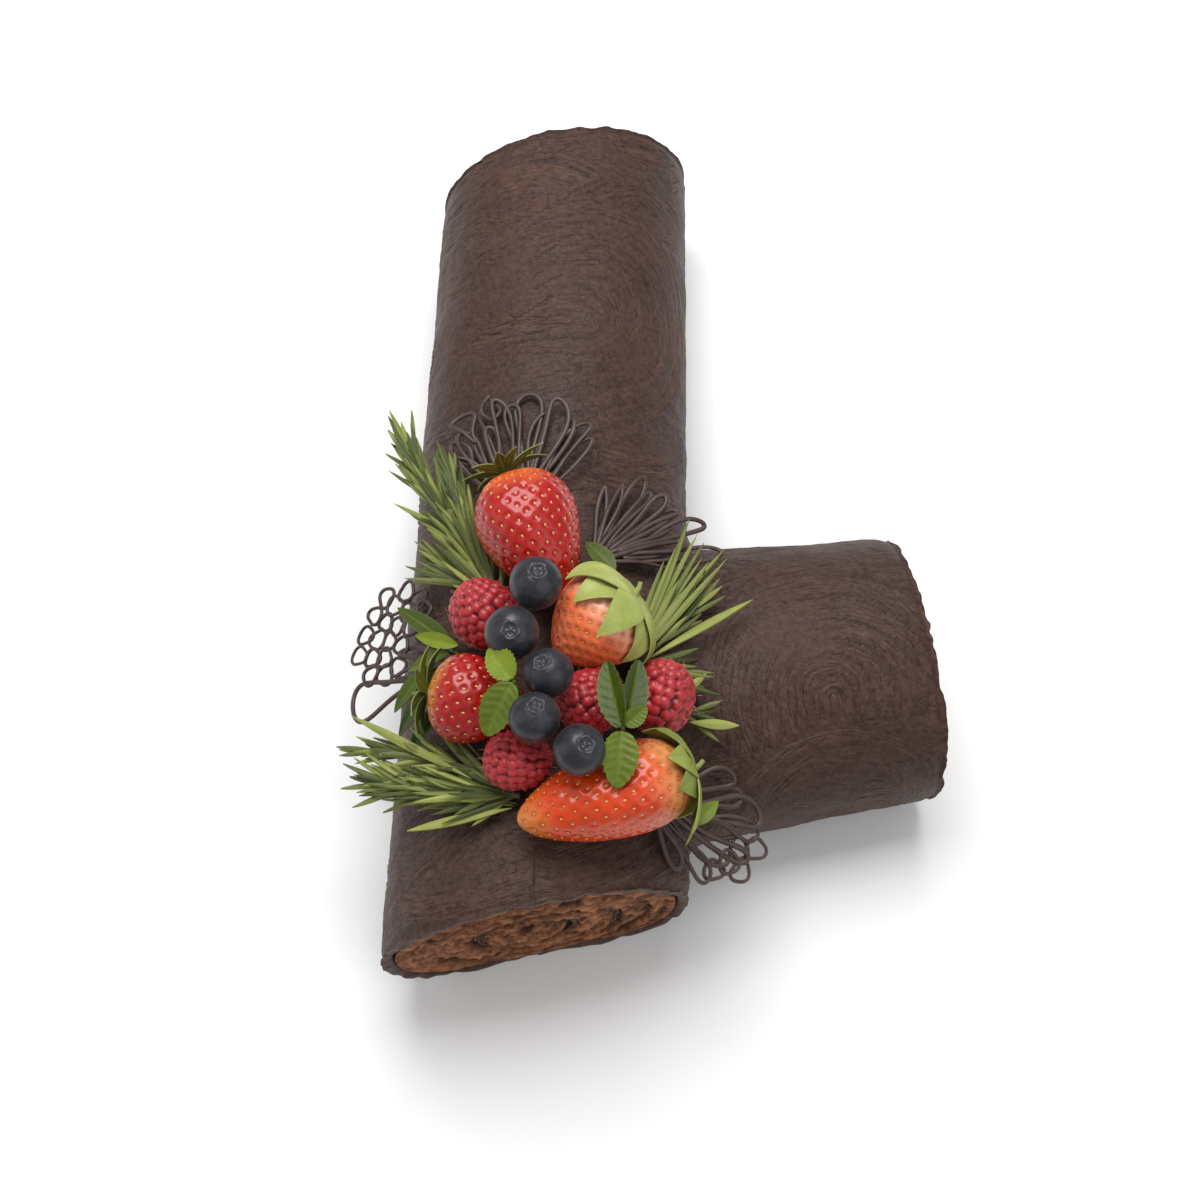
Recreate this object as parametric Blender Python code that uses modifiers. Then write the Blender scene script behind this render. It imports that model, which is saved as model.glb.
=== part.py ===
"""A yule log cake: a frosted trunk and a side branch of rolled sponge, topped with berries and chocolate lace.

Metres, +Z up. The origin is on the trunk's underside, half way along it. The trunk runs along +Y
and the branch leaves it towards +X. The cake stands on its flat underside.
"""
import math
from collections import namedtuple

import bmesh
import bpy
from mathutils import Matrix, Vector

OBJECT_NAME = "yule_log_cake"

# Fit between neighbours
GAP = 0.0003
ROLL_GAP = 0.0009
WELD_DISTANCE = 0.00001

# The two logs. A log's widest line is at WIDEST of its height, and slants turn its cut ends in plan.
WIDEST = 0.46
TRUNK_LENGTH = 0.254
TRUNK_HEIGHT = 0.066
TRUNK_WIDTH_NEAR = 0.0857
TRUNK_WIDTH_FAR = 0.0819
TRUNK_SLANT_NEAR = math.radians(13.4)
TRUNK_SLANT_FAR = math.radians(11.3)
BRANCH_START = 0.015
BRANCH_END = 0.1108
BRANCH_HEIGHT = 0.060
BRANCH_WIDTH_START = 0.0932
BRANCH_WIDTH_END = 0.0796
BRANCH_ROOT_Y = -0.0587
BRANCH_TURN = math.radians(8.4)
BRANCH_SLANT_END = math.radians(1.6)

# Frosting and roll
FROSTING = 0.0035
FROSTING_UNDER = 0.0020
FROSTING_EDGE = 0.0018
SPONGE_RECESS = 0.0006
FILLING = 0.0016
ROLL_PITCH = 0.0105
ROLL_HEART = 0.16
SECTION_STEPS = 40
ROLL_STEPS = 22

# Berries
SEPAL_THICKNESS = 0.0007
SEPAL_REACH = 0.011
SEPAL_CLEAR = 0.0018
CALYX_DISC = 0.0032
CALYX_EYE = 0.0016
BERRY_STEPS = 18
BERRY_RINGS = 9
DRUPELET_SWELL = 0.07
BLUEBERRY_CROWN = 0.0027

# Chocolate lace
LACE_STRAND = 0.0015
LACE_THICKNESS = 0.0012

Log = namedtuple("Log", "root turn start end width_start width_end height slant_start slant_end")
Strawberry = namedtuple("Strawberry", "name crown tip radius sepals lift")
Raspberry = namedtuple("Raspberry", "name centre axis radius length")
Blueberry = namedtuple("Blueberry", "name centre axis radius")
Lace = namedtuple("Lace", "name root heading normal spread reach_left reach reach_right petals")

TRUNK = Log(
    (0.0, 0.0), math.radians(90), -TRUNK_LENGTH / 2, TRUNK_LENGTH / 2,
    TRUNK_WIDTH_NEAR, TRUNK_WIDTH_FAR, TRUNK_HEIGHT, TRUNK_SLANT_NEAR, TRUNK_SLANT_FAR,
)
BRANCH = Log(
    (0.0, BRANCH_ROOT_Y), BRANCH_TURN, BRANCH_START, BRANCH_END,
    BRANCH_WIDTH_START, BRANCH_WIDTH_END, BRANCH_HEIGHT, 0.0, BRANCH_SLANT_END,
)

STRAWBERRIES = (
    Strawberry("strawberry_top", (-0.0110, -0.0098, 0.0822), (0.0055, -0.0455, 0.0785), 0.0143, 7, 0.55),
    Strawberry("strawberry_right", (0.0245, -0.0465, 0.0830), (0.0042, -0.0600, 0.0728), 0.0133, 7, 0.0),
    Strawberry("strawberry_left", (-0.0290, -0.0722, 0.0745), (-0.0020, -0.0775, 0.0775), 0.0120, 6, 0.35),
    Strawberry("strawberry_near", (0.0405, -0.0928, 0.0750), (-0.0038, -0.1080, 0.0765), 0.0123, 6, 0.1),
)
RASPBERRIES = (
    Raspberry("raspberry_left", (-0.0162, -0.0484, 0.0745), (-0.4, 0.5, 0.6), 0.0094, 0.020),
    Raspberry("raspberry_middle", (0.0145, -0.0741, 0.0760), (0.7, 0.2, 0.5), 0.0090, 0.019),
    Raspberry("raspberry_right", (0.0330, -0.0698, 0.0695), (0.3, 0.6, 0.7), 0.0100, 0.021),
    Raspberry("raspberry_near", (-0.0047, -0.0914, 0.0760), (1.0, -0.1, 0.1), 0.0076, 0.019),
)
BLUEBERRIES = (
    Blueberry("blueberry_1", (-0.0010, -0.0474, 0.0928), (0.1, 0.1, 1.0), 0.0073),
    Blueberry("blueberry_2", (-0.0067, -0.0616, 0.0925), (0.0, -0.3, 1.0), 0.0073),
    Blueberry("blueberry_3", (0.0032, -0.0722, 0.0910), (-0.3, 0.1, 1.0), 0.0067),
    Blueberry("blueberry_4", (0.0002, -0.0855, 0.0936), (0.1, 0.2, 1.0), 0.0068),
    Blueberry("blueberry_5", (0.0119, -0.0937, 0.0932), (0.3, -0.1, 1.0), 0.0068),
)
LACES = (
    Lace("lace_far", (-0.008, -0.015, 0.0667), math.radians(92), (-0.164, 0.0, 1.0), math.radians(88),
         0.031, 0.042, 0.031, 7),
    Lace("lace_corner", (0.013, -0.028, 0.0656), math.radians(46), (0.27, 0.0, 1.0), math.radians(84),
         0.024, 0.034, 0.041, 7),
    Lace("lace_left", (-0.021, -0.058, 0.0638), math.radians(163), (-0.73, 0.0, 1.0), math.radians(66),
         0.040, 0.045, 0.042, 5),
    Lace("lace_near", (0.030, -0.096, 0.0600), math.radians(-25), (0.402, -0.402, 1.0), math.radians(88),
         0.024, 0.036, 0.034, 6),
)


# ---------------------------------------------------------------- scene helpers

def clear_scene():
    """Remove whatever the file holds."""
    for old in list(bpy.data.objects):
        bpy.data.objects.remove(old, do_unlink=True)


def new_collection(name):
    """Make a collection in the scene."""
    collection = bpy.data.collections.new(name)
    bpy.context.scene.collection.children.link(collection)
    return collection


def new_material(name, colour, roughness, coat=0.0):
    """Make a Principled material."""
    material = bpy.data.materials.new(name)
    material.use_nodes = True
    shader = material.node_tree.nodes["Principled BSDF"]
    shader.inputs["Base Color"].default_value = (*colour, 1.0)
    shader.inputs["Roughness"].default_value = roughness
    shader.inputs["Metallic"].default_value = 0.0
    shader.inputs["Coat Weight"].default_value = coat
    return material


def add_object(name, mesh, collection, material=None):
    """Link a mesh as an object, smooth over its gentle edges."""
    if material:
        mesh.materials.clear()
        mesh.materials.append(material)
    mesh.shade_smooth()
    mesh.set_sharp_from_angle(angle=math.radians(40))
    thing = bpy.data.objects.new(name, mesh)
    collection.objects.link(thing)
    return thing


def filled_prism(name, loops, half_depth):
    """Extrude flat closed outlines, the first one the rim and the others holes, into a welded mesh."""
    curve = bpy.data.curves.new(name, "CURVE")
    curve.dimensions = "2D"
    curve.fill_mode = "BOTH"
    curve.extrude = half_depth
    for loop in loops:
        spline = curve.splines.new("POLY")
        spline.points.add(len(loop) - 1)
        for point, (x, y) in zip(spline.points, loop):
            point.co = (x, y, 0.0, 1.0)
        spline.use_cyclic_u = True
    outline = bpy.data.objects.new(name, curve)
    bpy.context.scene.collection.objects.link(outline)
    depsgraph = bpy.context.evaluated_depsgraph_get()
    mesh = bpy.data.meshes.new_from_object(outline.evaluated_get(depsgraph))
    bpy.data.objects.remove(outline, do_unlink=True)
    bpy.data.curves.remove(curve)
    solid = bmesh.new()
    solid.from_mesh(mesh)
    bmesh.ops.remove_doubles(solid, verts=solid.verts, dist=WELD_DISTANCE)
    bmesh.ops.recalc_face_normals(solid, faces=solid.faces)
    solid.to_mesh(mesh)
    solid.free()
    mesh.name = name
    return mesh


def join_flat_faces(mesh):
    """Turn each flat patch of a mesh into one face."""
    solid = bmesh.new()
    solid.from_mesh(mesh)
    bmesh.ops.dissolve_limit(solid, angle_limit=math.radians(0.5), verts=solid.verts, edges=solid.edges)
    solid.to_mesh(mesh)
    solid.free()


def add_cut(target, cutter, operation, name, solver="EXACT"):
    """Join or cut the target with another object."""
    boolean = target.modifiers.new(name, "BOOLEAN")
    boolean.object = cutter
    boolean.operation = operation
    boolean.solver = solver


def hide_cutter(cutter):
    """Show a cutter as a wire frame that no picture or build includes."""
    cutter.hide_render = True
    cutter.display_type = "WIRE"


# ---------------------------------------------------------------- logs

def section_point(width, height, angle):
    """A point of a log's section: a half ellipse on top of a squarer lower half that lies flat."""
    widest = WIDEST * height
    across = math.cos(angle)
    up = math.sin(angle)
    if up >= 0:
        return Vector((width / 2 * across, widest + (height - widest) * up))
    squareness = 0.72
    overshoot = 1.10
    x = math.copysign(abs(across) ** squareness, across) * width / 2
    return Vector((x, max(0.0, widest - widest * overshoot * abs(up) ** squareness)))


def section(width, height, lift=0.0):
    """The closed outline of a log's section, lift above the ground."""
    points = []
    for step in range(SECTION_STEPS):
        point = section_point(width, height, math.tau * step / SECTION_STEPS)
        points.append((point.x, point.y + lift))
    return points


def coat_inset(log, extra):
    """Width, height and lift of a log's section inside its frosting, drawn in by extra all round."""
    width = (log.width_start + log.width_end) / 2
    inner_width = width - 2 * (FROSTING + extra)
    inner_height = log.height - FROSTING - FROSTING_UNDER - 2 * extra
    return inner_width, inner_height, FROSTING_UNDER + extra


def run_along(log, mesh, start, end, slant_start):
    """Bend an upright prism along a log, with its taper and slanted ends."""
    middle = (log.width_start + log.width_end) / 2
    forward = Vector((math.cos(log.turn), math.sin(log.turn)))
    across = Vector((forward.y, -forward.x))
    for vertex in mesh.vertices:
        at_end = vertex.co.z < 0
        along = end if at_end else start
        slant = log.slant_end if at_end else slant_start
        share = (along - log.start) / (log.end - log.start)
        width = log.width_start + (log.width_end - log.width_start) * share
        side = vertex.co.x * width / middle
        along += side * math.tan(slant)
        place = Vector(log.root) + forward * along + across * side
        vertex.co = (place.x, place.y, vertex.co.y)


def log_solid(name, log, extra, start, end, slant_start):
    """A log's plain form: its outside where extra is None, else its core."""
    if extra is None:
        outline = section((log.width_start + log.width_end) / 2, log.height)
    else:
        width, height, lift = coat_inset(log, extra)
        outline = section(width, height, lift)
    mesh = filled_prism(name, [outline], 1.0)
    run_along(log, mesh, start, end, slant_start)
    return mesh


def roll_strip(log, half_thickness, end_trim):
    """A flat spiral strip inside a log's core, half_thickness to each side of its middle line."""
    width, height, lift = coat_inset(log, GAP)
    heart = Vector((0.0, lift + WIDEST * height))
    reach = (width + height) / 4
    outermost = 1.0 - (ROLL_PITCH - FILLING / 2) / reach
    turns = (outermost - ROLL_HEART) * reach / ROLL_PITCH
    steps = round(turns * ROLL_STEPS)
    outer_edge = []
    inner_edge = []
    for step in range(steps + 1):
        share = end_trim + (1 - 2 * end_trim) * step / steps
        angle = math.radians(200) + share * turns * math.tau
        rim = section_point(width, height, angle) + Vector((0.0, lift)) - heart
        distance = rim.length * (outermost + (ROLL_HEART - outermost) * share)
        direction = rim.normalized()
        outer_edge.append(tuple(heart + direction * (distance + half_thickness)))
        inner_edge.append(tuple(heart + direction * (distance - half_thickness)))
    return outer_edge + inner_edge[::-1]


def add_roll(prefix, log, start, end, slant_start, collection, sponge, filling):
    """The rolled sponge of one log and the filling rolled up in it."""
    width, height, lift = coat_inset(log, 1.3 * GAP)
    slot = roll_strip(log, FILLING / 2 + ROLL_GAP, 0.0)
    mesh = filled_prism(prefix + "_sponge", [section(width, height, lift), slot], 1.0)
    run_along(log, mesh, start, end, slant_start)
    add_object(prefix + "_sponge", mesh, collection, sponge)
    strip = roll_strip(log, FILLING / 2, 0.010)
    mesh = filled_prism(prefix + "_filling", [strip], 1.0)
    run_along(log, mesh, start, end, slant_start)
    add_object(prefix + "_filling", mesh, collection, filling)


def add_logs(collection, cutters):
    """The frosting over both logs, and their rolls."""
    chocolate = new_material("frosting", (0.060, 0.036, 0.028), 0.55)
    sponge = new_material("sponge", (0.190, 0.085, 0.042), 0.90)
    cream = new_material("filling", (0.075, 0.036, 0.022), 0.60)

    trunk_form = log_solid("frosting", TRUNK, None, TRUNK.start, TRUNK.end, TRUNK.slant_start)
    frosting = add_object("frosting", trunk_form, collection, chocolate)
    branch_mesh = log_solid("branch_form", BRANCH, None, BRANCH.start, BRANCH.end, BRANCH.slant_start)
    branch_form = add_object("branch_form", branch_mesh, cutters, chocolate)
    for form in (frosting, branch_form):
        join_flat_faces(form.data)
        bevel = form.modifiers.new("soft_ends", "BEVEL")
        bevel.width = FROSTING_EDGE
        bevel.segments = 2
        bevel.limit_method = "ANGLE"
        bevel.angle_limit = math.radians(60)
        form.modifiers.new("triangles", "TRIANGULATE")
    add_cut(frosting, branch_form, "UNION", "branch")

    past_end = 0.010
    trunk_core = log_solid("trunk_bore", TRUNK, 0.0, TRUNK.start - past_end, TRUNK.end + past_end,
                           TRUNK.slant_start)
    trunk_bore = add_object("trunk_bore", trunk_core, cutters)
    add_cut(frosting, trunk_bore, "DIFFERENCE", "trunk_bore")

    wall_start = TRUNK_WIDTH_NEAR / 2 + GAP
    core_start = (wall_start + GAP) / math.cos(BRANCH_TURN)
    branch_core = log_solid("branch_bore", BRANCH, 0.0, wall_start / math.cos(BRANCH_TURN),
                            BRANCH.end + past_end, -BRANCH_TURN)
    branch_bore = add_object("branch_bore", branch_core, cutters)
    for bore in (trunk_bore, branch_bore):
        bore.modifiers.new("triangles", "TRIANGULATE")
    add_cut(frosting, branch_bore, "DIFFERENCE", "branch_bore", solver="MANIFOLD")
    for cutter in (branch_form, trunk_bore, branch_bore):
        hide_cutter(cutter)

    add_roll("trunk", TRUNK, TRUNK.start + SPONGE_RECESS, TRUNK.end - SPONGE_RECESS,
             TRUNK.slant_start, collection, sponge, cream)
    add_roll("branch", BRANCH, core_start, BRANCH.end - SPONGE_RECESS, -BRANCH_TURN,
             collection, sponge, cream)


# ---------------------------------------------------------------- strawberries

def berry_radius(share):
    """A strawberry's half width, as a share of its greatest, along it from crown 0 to tip 1."""
    return math.sin(math.pi * share ** 0.66) ** 0.72 if 0 < share < 1 else 0.0


def berry_profile(radius, length, rings):
    """Points down a strawberry's side from its crown to its tip."""
    points = []
    for ring in range(rings + 1):
        share = (1 - math.cos(math.pi * ring / rings)) / 2
        points.append(Vector((radius * berry_radius(share), 0.0, -length * share)))
    return points


def turned_mesh(name, profile, steps):
    """Turn a profile about the Z axis into a closed mesh."""
    mesh = bpy.data.meshes.new(name)
    edges = [(index, index + 1) for index in range(len(profile) - 1)]
    mesh.from_pydata([tuple(point) for point in profile], edges, [])
    thing = bpy.data.objects.new(name, mesh)
    bpy.context.scene.collection.objects.link(thing)
    screw = thing.modifiers.new("turn", "SCREW")
    screw.steps = steps
    screw.render_steps = steps
    screw.use_merge_vertices = True
    screw.merge_threshold = WELD_DISTANCE
    depsgraph = bpy.context.evaluated_depsgraph_get()
    turned = bpy.data.meshes.new_from_object(thing.evaluated_get(depsgraph))
    bpy.data.objects.remove(thing, do_unlink=True)
    turned.name = name
    return turned


def place_along(thing, location, axis):
    """Stand an object's +Z along an axis."""
    thing.location = location
    thing.rotation_mode = "QUATERNION"
    thing.rotation_quaternion = Vector(axis).to_track_quat("Z", "Y")


def star_outline(sepals):
    """A flat outline of pointed sepals round a small disc."""
    points = []
    for index in range(sepals):
        middle = math.tau * index / sepals
        half = math.pi / sepals
        reach = SEPAL_REACH * (1.0 if index % 2 else 0.82)
        for turn, distance in ((-0.95, CALYX_DISC), (-0.62, reach * 0.55), (0.0, reach), (0.62, reach * 0.55)):
            angle = middle + half * turn
            points.append((distance * math.cos(angle), distance * math.sin(angle)))
    return points


def star_eye(sepals):
    """The small round hole that a stem comes from."""
    turns = [math.tau * (index + 0.5) / sepals for index in range(sepals)]
    return [(CALYX_EYE * math.cos(turn), CALYX_EYE * math.sin(turn)) for turn in turns]


def drape_on_berry(mesh, radius, length, lift):
    """Lay a flat star over a strawberry's crown, rising off it by lift."""
    profile = berry_profile(radius, length, 40)
    for vertex in mesh.vertices:
        left = math.hypot(vertex.co.x, vertex.co.y)
        angle = math.atan2(vertex.co.y, vertex.co.x)
        clear = SEPAL_CLEAR + lift * left + vertex.co.z
        for above, below in zip(profile, profile[1:]):
            step = below - above
            if left <= step.length:
                break
            left -= step.length
        outward = Vector((-step.z, 0.0, step.x)).normalized()
        spot = above + step.normalized() * left + outward * clear
        vertex.co = (spot.x * math.cos(angle), spot.x * math.sin(angle), spot.z)


def add_strawberries(collection):
    """Each strawberry and the calyx over its crown."""
    skin = new_material("strawberry", (0.62, 0.045, 0.020), 0.22, coat=0.4)
    leaf = new_material("calyx", (0.22, 0.30, 0.06), 0.50)
    for berry in STRAWBERRIES:
        axis = Vector(berry.crown) - Vector(berry.tip)
        profile = berry_profile(berry.radius, axis.length, BERRY_RINGS)
        body = add_object(berry.name, turned_mesh(berry.name, profile, BERRY_STEPS), collection, skin)
        place_along(body, berry.crown, axis)
        loops = [star_outline(berry.sepals), star_eye(berry.sepals)]
        star = filled_prism(berry.name + "_calyx", loops, SEPAL_THICKNESS / 2)
        drape_on_berry(star, berry.radius, axis.length, berry.lift)
        calyx = add_object(berry.name + "_calyx", star, collection, leaf)
        place_along(calyx, berry.crown, axis)


# ---------------------------------------------------------------- raspberries and blueberries

def add_raspberries(collection):
    """Knobbly ovals whose every other point swells as a drupelet."""
    skin = new_material("raspberry", (0.38, 0.020, 0.035), 0.45)
    around = 16
    down = 10
    for berry in RASPBERRIES:
        mesh = bpy.data.meshes.new(berry.name)
        ball = bmesh.new()
        bmesh.ops.create_uvsphere(ball, u_segments=around, v_segments=down, radius=1.0)
        for vertex in ball.verts:
            column = round(math.atan2(vertex.co.y, vertex.co.x) / math.tau * around)
            row = round(math.acos(max(-1.0, min(1.0, vertex.co.z))) / math.pi * down)
            swell = 1.0 if (column + row) % 2 else 1.0 - DRUPELET_SWELL
            taper = 1.0 - 0.10 * vertex.co.z
            vertex.co = Vector((
                vertex.co.x * berry.radius * swell * taper,
                vertex.co.y * berry.radius * swell * taper,
                vertex.co.z * berry.length / 2 * swell,
            ))
        ball.to_mesh(mesh)
        ball.free()
        body = add_object(berry.name, mesh, collection, skin)
        place_along(body, berry.centre, berry.axis)


def add_blueberries(collection):
    """Round berries with a sunk crown."""
    skin = new_material("blueberry", (0.022, 0.030, 0.055), 0.55)
    for berry in BLUEBERRIES:
        radius = berry.radius
        crown_top = math.sqrt(radius ** 2 - BLUEBERRY_CROWN ** 2)
        pit = crown_top - 0.0010
        profile = [Vector((0.0, 0.0, pit)), Vector((BLUEBERRY_CROWN * 0.7, 0.0, pit))]
        profile.append(Vector((BLUEBERRY_CROWN * 0.9, 0.0, crown_top + 0.0006)))
        first = math.asin(BLUEBERRY_CROWN * 1.15 / radius)
        rings = 7
        for ring in range(rings + 1):
            angle = first + (math.pi - first) * ring / rings
            x = radius * math.sin(angle) if ring < rings else 0.0
            profile.append(Vector((x, 0.0, radius * math.cos(angle))))
        body = add_object(berry.name, turned_mesh(berry.name, profile, 12), collection, skin)
        place_along(body, berry.centre, berry.axis)


# ---------------------------------------------------------------- chocolate lace

def lace_reach(lace, turn):
    """How far a lace fan reaches at turn, from -1 at its right side to +1 at its left side."""
    side = lace.reach_left if turn > 0 else lace.reach_right
    return lace.reach + (side - lace.reach) * turn * turn


def lace_cell(lace, inner, outer, turn, half_turn):
    """One open loop of the lace, between two shares of its reach."""
    points = []
    steps = 8
    for step in range(steps):
        angle = -math.tau * step / steps
        middle = (inner + outer) / 2
        share = middle + (outer - inner) / 2 * math.cos(angle)
        here = turn + half_turn * math.sin(angle)
        reach = lace_reach(lace, here) * share
        squeeze = 1.0 - LACE_STRAND / (2 * reach * half_turn * lace.spread / 2)
        swing = (turn + half_turn * squeeze * math.sin(angle)) * lace.spread / 2
        distance = reach - LACE_STRAND / 2 * math.cos(angle)
        points.append((distance * math.cos(swing), distance * math.sin(swing)))
    return points


def lace_loops(lace):
    """The fan's scalloped rim, its long petals and the small cells beyond them."""
    root_share = 0.30
    petal_share = 0.74
    rim = []
    for side in (-1.0, 1.0):
        swing = side * lace.spread / 2
        distance = lace_reach(lace, side) * (root_share - 0.06)
        rim.append((distance * math.cos(swing), distance * math.sin(swing)))
    cells = lace.petals
    scallop_steps = 4
    scallops = []
    for step in range(cells * scallop_steps + 1):
        turn = 1.0 - 2.0 * step / (cells * scallop_steps)
        bulge = abs(math.sin(math.pi * step / scallop_steps))
        distance = lace_reach(lace, turn) * (0.93 + 0.07 * bulge) + LACE_STRAND / 2
        swing = turn * (lace.spread / 2 + LACE_STRAND / distance / 2)
        scallops.append((distance * math.cos(swing), distance * math.sin(swing)))
    loops = [rim + scallops]
    for index in range(cells):
        turn = -1.0 + (2 * index + 1) / cells
        loops.append(lace_cell(lace, root_share, petal_share, turn, 1.0 / cells))
        loops.append(lace_cell(lace, petal_share, 0.97, turn, 1.0 / cells))
    return loops


def add_laces(collection):
    """Flat piped fans that lean on the logs."""
    chocolate = new_material("lace", (0.040, 0.024, 0.020), 0.45)
    for lace in LACES:
        mesh = filled_prism(lace.name, lace_loops(lace), LACE_THICKNESS / 2)
        fan = add_object(lace.name, mesh, collection, chocolate)
        up = Vector(lace.normal).normalized()
        heading = Vector((math.cos(lace.heading), math.sin(lace.heading), 0.0))
        out = (heading - up * heading.dot(up)).normalized()
        across = up.cross(out)
        turn = Matrix((out, across, up)).transposed().to_4x4()
        fan.matrix_world = Matrix.Translation(lace.root) @ turn


def main():
    """Build the cake."""
    clear_scene()
    collection = new_collection(OBJECT_NAME)
    cutters = new_collection("cutters")
    add_logs(collection, cutters)
    add_strawberries(collection)
    add_raspberries(collection)
    add_blueberries(collection)
    add_laces(collection)


main()
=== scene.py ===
"""The looks of a yule log cake: combed chocolate coat, rolled sponge, berries, herbs and piped lace.

Lengths are millimetres in the code below and become metres when a mesh is made. +Y runs along the
trunk, the branch leaves towards +X, and +Z is up.
"""
import math
import random
from collections import namedtuple

import bpy
import numpy as np
from mathutils import Matrix, Vector


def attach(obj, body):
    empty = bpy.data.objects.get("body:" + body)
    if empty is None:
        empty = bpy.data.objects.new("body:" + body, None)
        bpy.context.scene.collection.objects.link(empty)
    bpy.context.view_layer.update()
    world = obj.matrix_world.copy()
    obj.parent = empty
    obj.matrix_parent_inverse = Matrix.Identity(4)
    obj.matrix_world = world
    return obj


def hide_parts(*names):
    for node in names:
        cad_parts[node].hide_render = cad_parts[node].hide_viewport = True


bl_info = {
    "name": "Yule Log Cake",
    "version": (1, 0, 0),
    "blender": (4, 5, 0),
    "location": "View3D > Sidebar > Cake",
    "description": "Makes the finish and the toppings of a yule log cake",
    "category": "Object",
}

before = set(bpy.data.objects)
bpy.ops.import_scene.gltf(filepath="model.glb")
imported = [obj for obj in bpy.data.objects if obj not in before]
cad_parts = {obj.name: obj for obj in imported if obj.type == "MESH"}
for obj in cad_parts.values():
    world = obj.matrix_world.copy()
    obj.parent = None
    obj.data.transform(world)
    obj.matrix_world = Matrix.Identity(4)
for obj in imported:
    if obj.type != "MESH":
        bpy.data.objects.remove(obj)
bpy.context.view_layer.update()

MM = 0.001
TAU = math.tau

Log = namedtuple("Log", "root turn start end width_start width_end height slant_start slant_end")
Berry = namedtuple("Berry", "name crown tip radius sepals lift reach width blunt skin blush green seed")
Stroke = namedtuple("Stroke", "u v opening inner outer low high layer lip")
Fan = namedtuple("Fan", "base first last count width shade seed")
Round = namedtuple("Round", "name centre axis radius length")
Leaf = namedtuple("Leaf", "base tip up width fold curl shade tooth")
Sprig = namedtuple("Sprig", "name path needles reach spread up seed")
Lace = namedtuple("Lace", "name root heading normal spread reach_left reach reach_right loops cells")

# ---------------------------------------------------------------- the cake's own sizes, in mm

WIDEST = 0.46
FROSTING = 3.5
FROSTING_UNDER = 2.0
FILLING = 1.6
ROLL_GAP = 0.9
ROLL_PITCH = 10.5
ROLL_HEART = 0.16
SPONGE_RECESS = 0.6
COMB_PITCH = 1.75
STROKE_FADE = 2.2
BEAD_WIDTH = 0.9
FILLET_REACH = 7.0
FILLET_RISE = 2.6

TRUNK = Log((0.0, 0.0), math.radians(90), -127.0, 127.0, 85.7, 81.9, 66.0, math.radians(13.4), math.radians(11.3))
BRANCH = Log((0.0, -58.7), math.radians(8.4), 15.0, 110.8, 93.2, 79.6, 60.0, 0.0, math.radians(1.6))

FLOOR_HALF = 4000.0
FLOOR_LEVEL = -0.3
FLOOR_CORNERS = ((-1, -1), (1, -1), (1, 1), (-1, 1))
LAMPS = (
    ("key_lamp", (-40, 330, 860), 620, 1.0),
    ("fill_lamp", (520, -420, 620), 700, 0.18),
    ("side_lamp", (-700, -160, 420), 600, 0.10),
)
ROOM_LIGHT = 0.42
CAMERA_PLACE = (20.2, -225.8, 483.5)
CAMERA_TURN = (math.radians(24), 0, math.radians(1.34))

STRAWBERRIES = (
    Berry("strawberry_top", (-11.0, -9.8, 82.2), (5.5, -45.5, 78.5), 14.3, 8, 0.55, 8.0, 3.6, 0.66,
          ((226, 104, 30), (172, 18, 14), (140, 12, 14)), 0.16, ((106, 116, 36), (62, 72, 22)), 11),
    Berry("strawberry_right", (24.5, -46.5, 83.0), (4.2, -60.0, 72.8), 13.3, 8, 0.0, 17.5, 12.5, 0.64,
          ((255, 196, 160), (255, 130, 78), (246, 78, 44)), 0.34, ((190, 192, 114), (150, 162, 78)), 12),
    Berry("strawberry_left", (-29.0, -72.2, 74.5), (-2.0, -77.5, 77.5), 12.0, 7, 0.35, 9.0, 4.6, 0.66,
          ((200, 130, 54), (166, 18, 16), (140, 12, 14)), 0.14, ((112, 126, 40), (50, 64, 22)), 13),
    Berry("strawberry_near", (40.5, -92.8, 75.0), (-3.8, -108.0, 76.5), 12.3, 8, 0.02, 14.5, 10.4, 0.52,
          ((224, 150, 88), (214, 66, 12), (206, 132, 50)), 0.22, ((164, 172, 84), (106, 124, 40)), 14),
)
RASPBERRIES = (
    Round("raspberry_left", (-16.2, -48.4, 74.5), (-0.4, 0.5, 0.6), 9.4, 20.0),
    Round("raspberry_middle", (14.5, -74.1, 76.0), (0.7, 0.2, 0.5), 9.0, 19.0),
    Round("raspberry_right", (33.0, -69.8, 69.5), (0.3, 0.6, 0.7), 10.0, 21.0),
    Round("raspberry_near", (-4.7, -91.4, 76.0), (1.0, -0.1, 0.1), 7.6, 19.0),
)
BLUEBERRIES = (
    Round("blueberry_1", (-1.0, -47.4, 92.8), (0.1, 0.1, 1.0), 7.3, 14.0),
    Round("blueberry_2", (-6.7, -61.6, 92.5), (0.0, -0.3, 1.0), 7.3, 14.0),
    Round("blueberry_3", (3.2, -72.2, 91.0), (-0.3, 0.1, 1.0), 6.7, 13.0),
    Round("blueberry_4", (0.2, -85.5, 93.6), (0.1, 0.2, 1.0), 6.8, 13.0),
    Round("blueberry_5", (11.9, -93.7, 93.2), (0.3, -0.1, 1.0), 6.8, 13.0),
)
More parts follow.
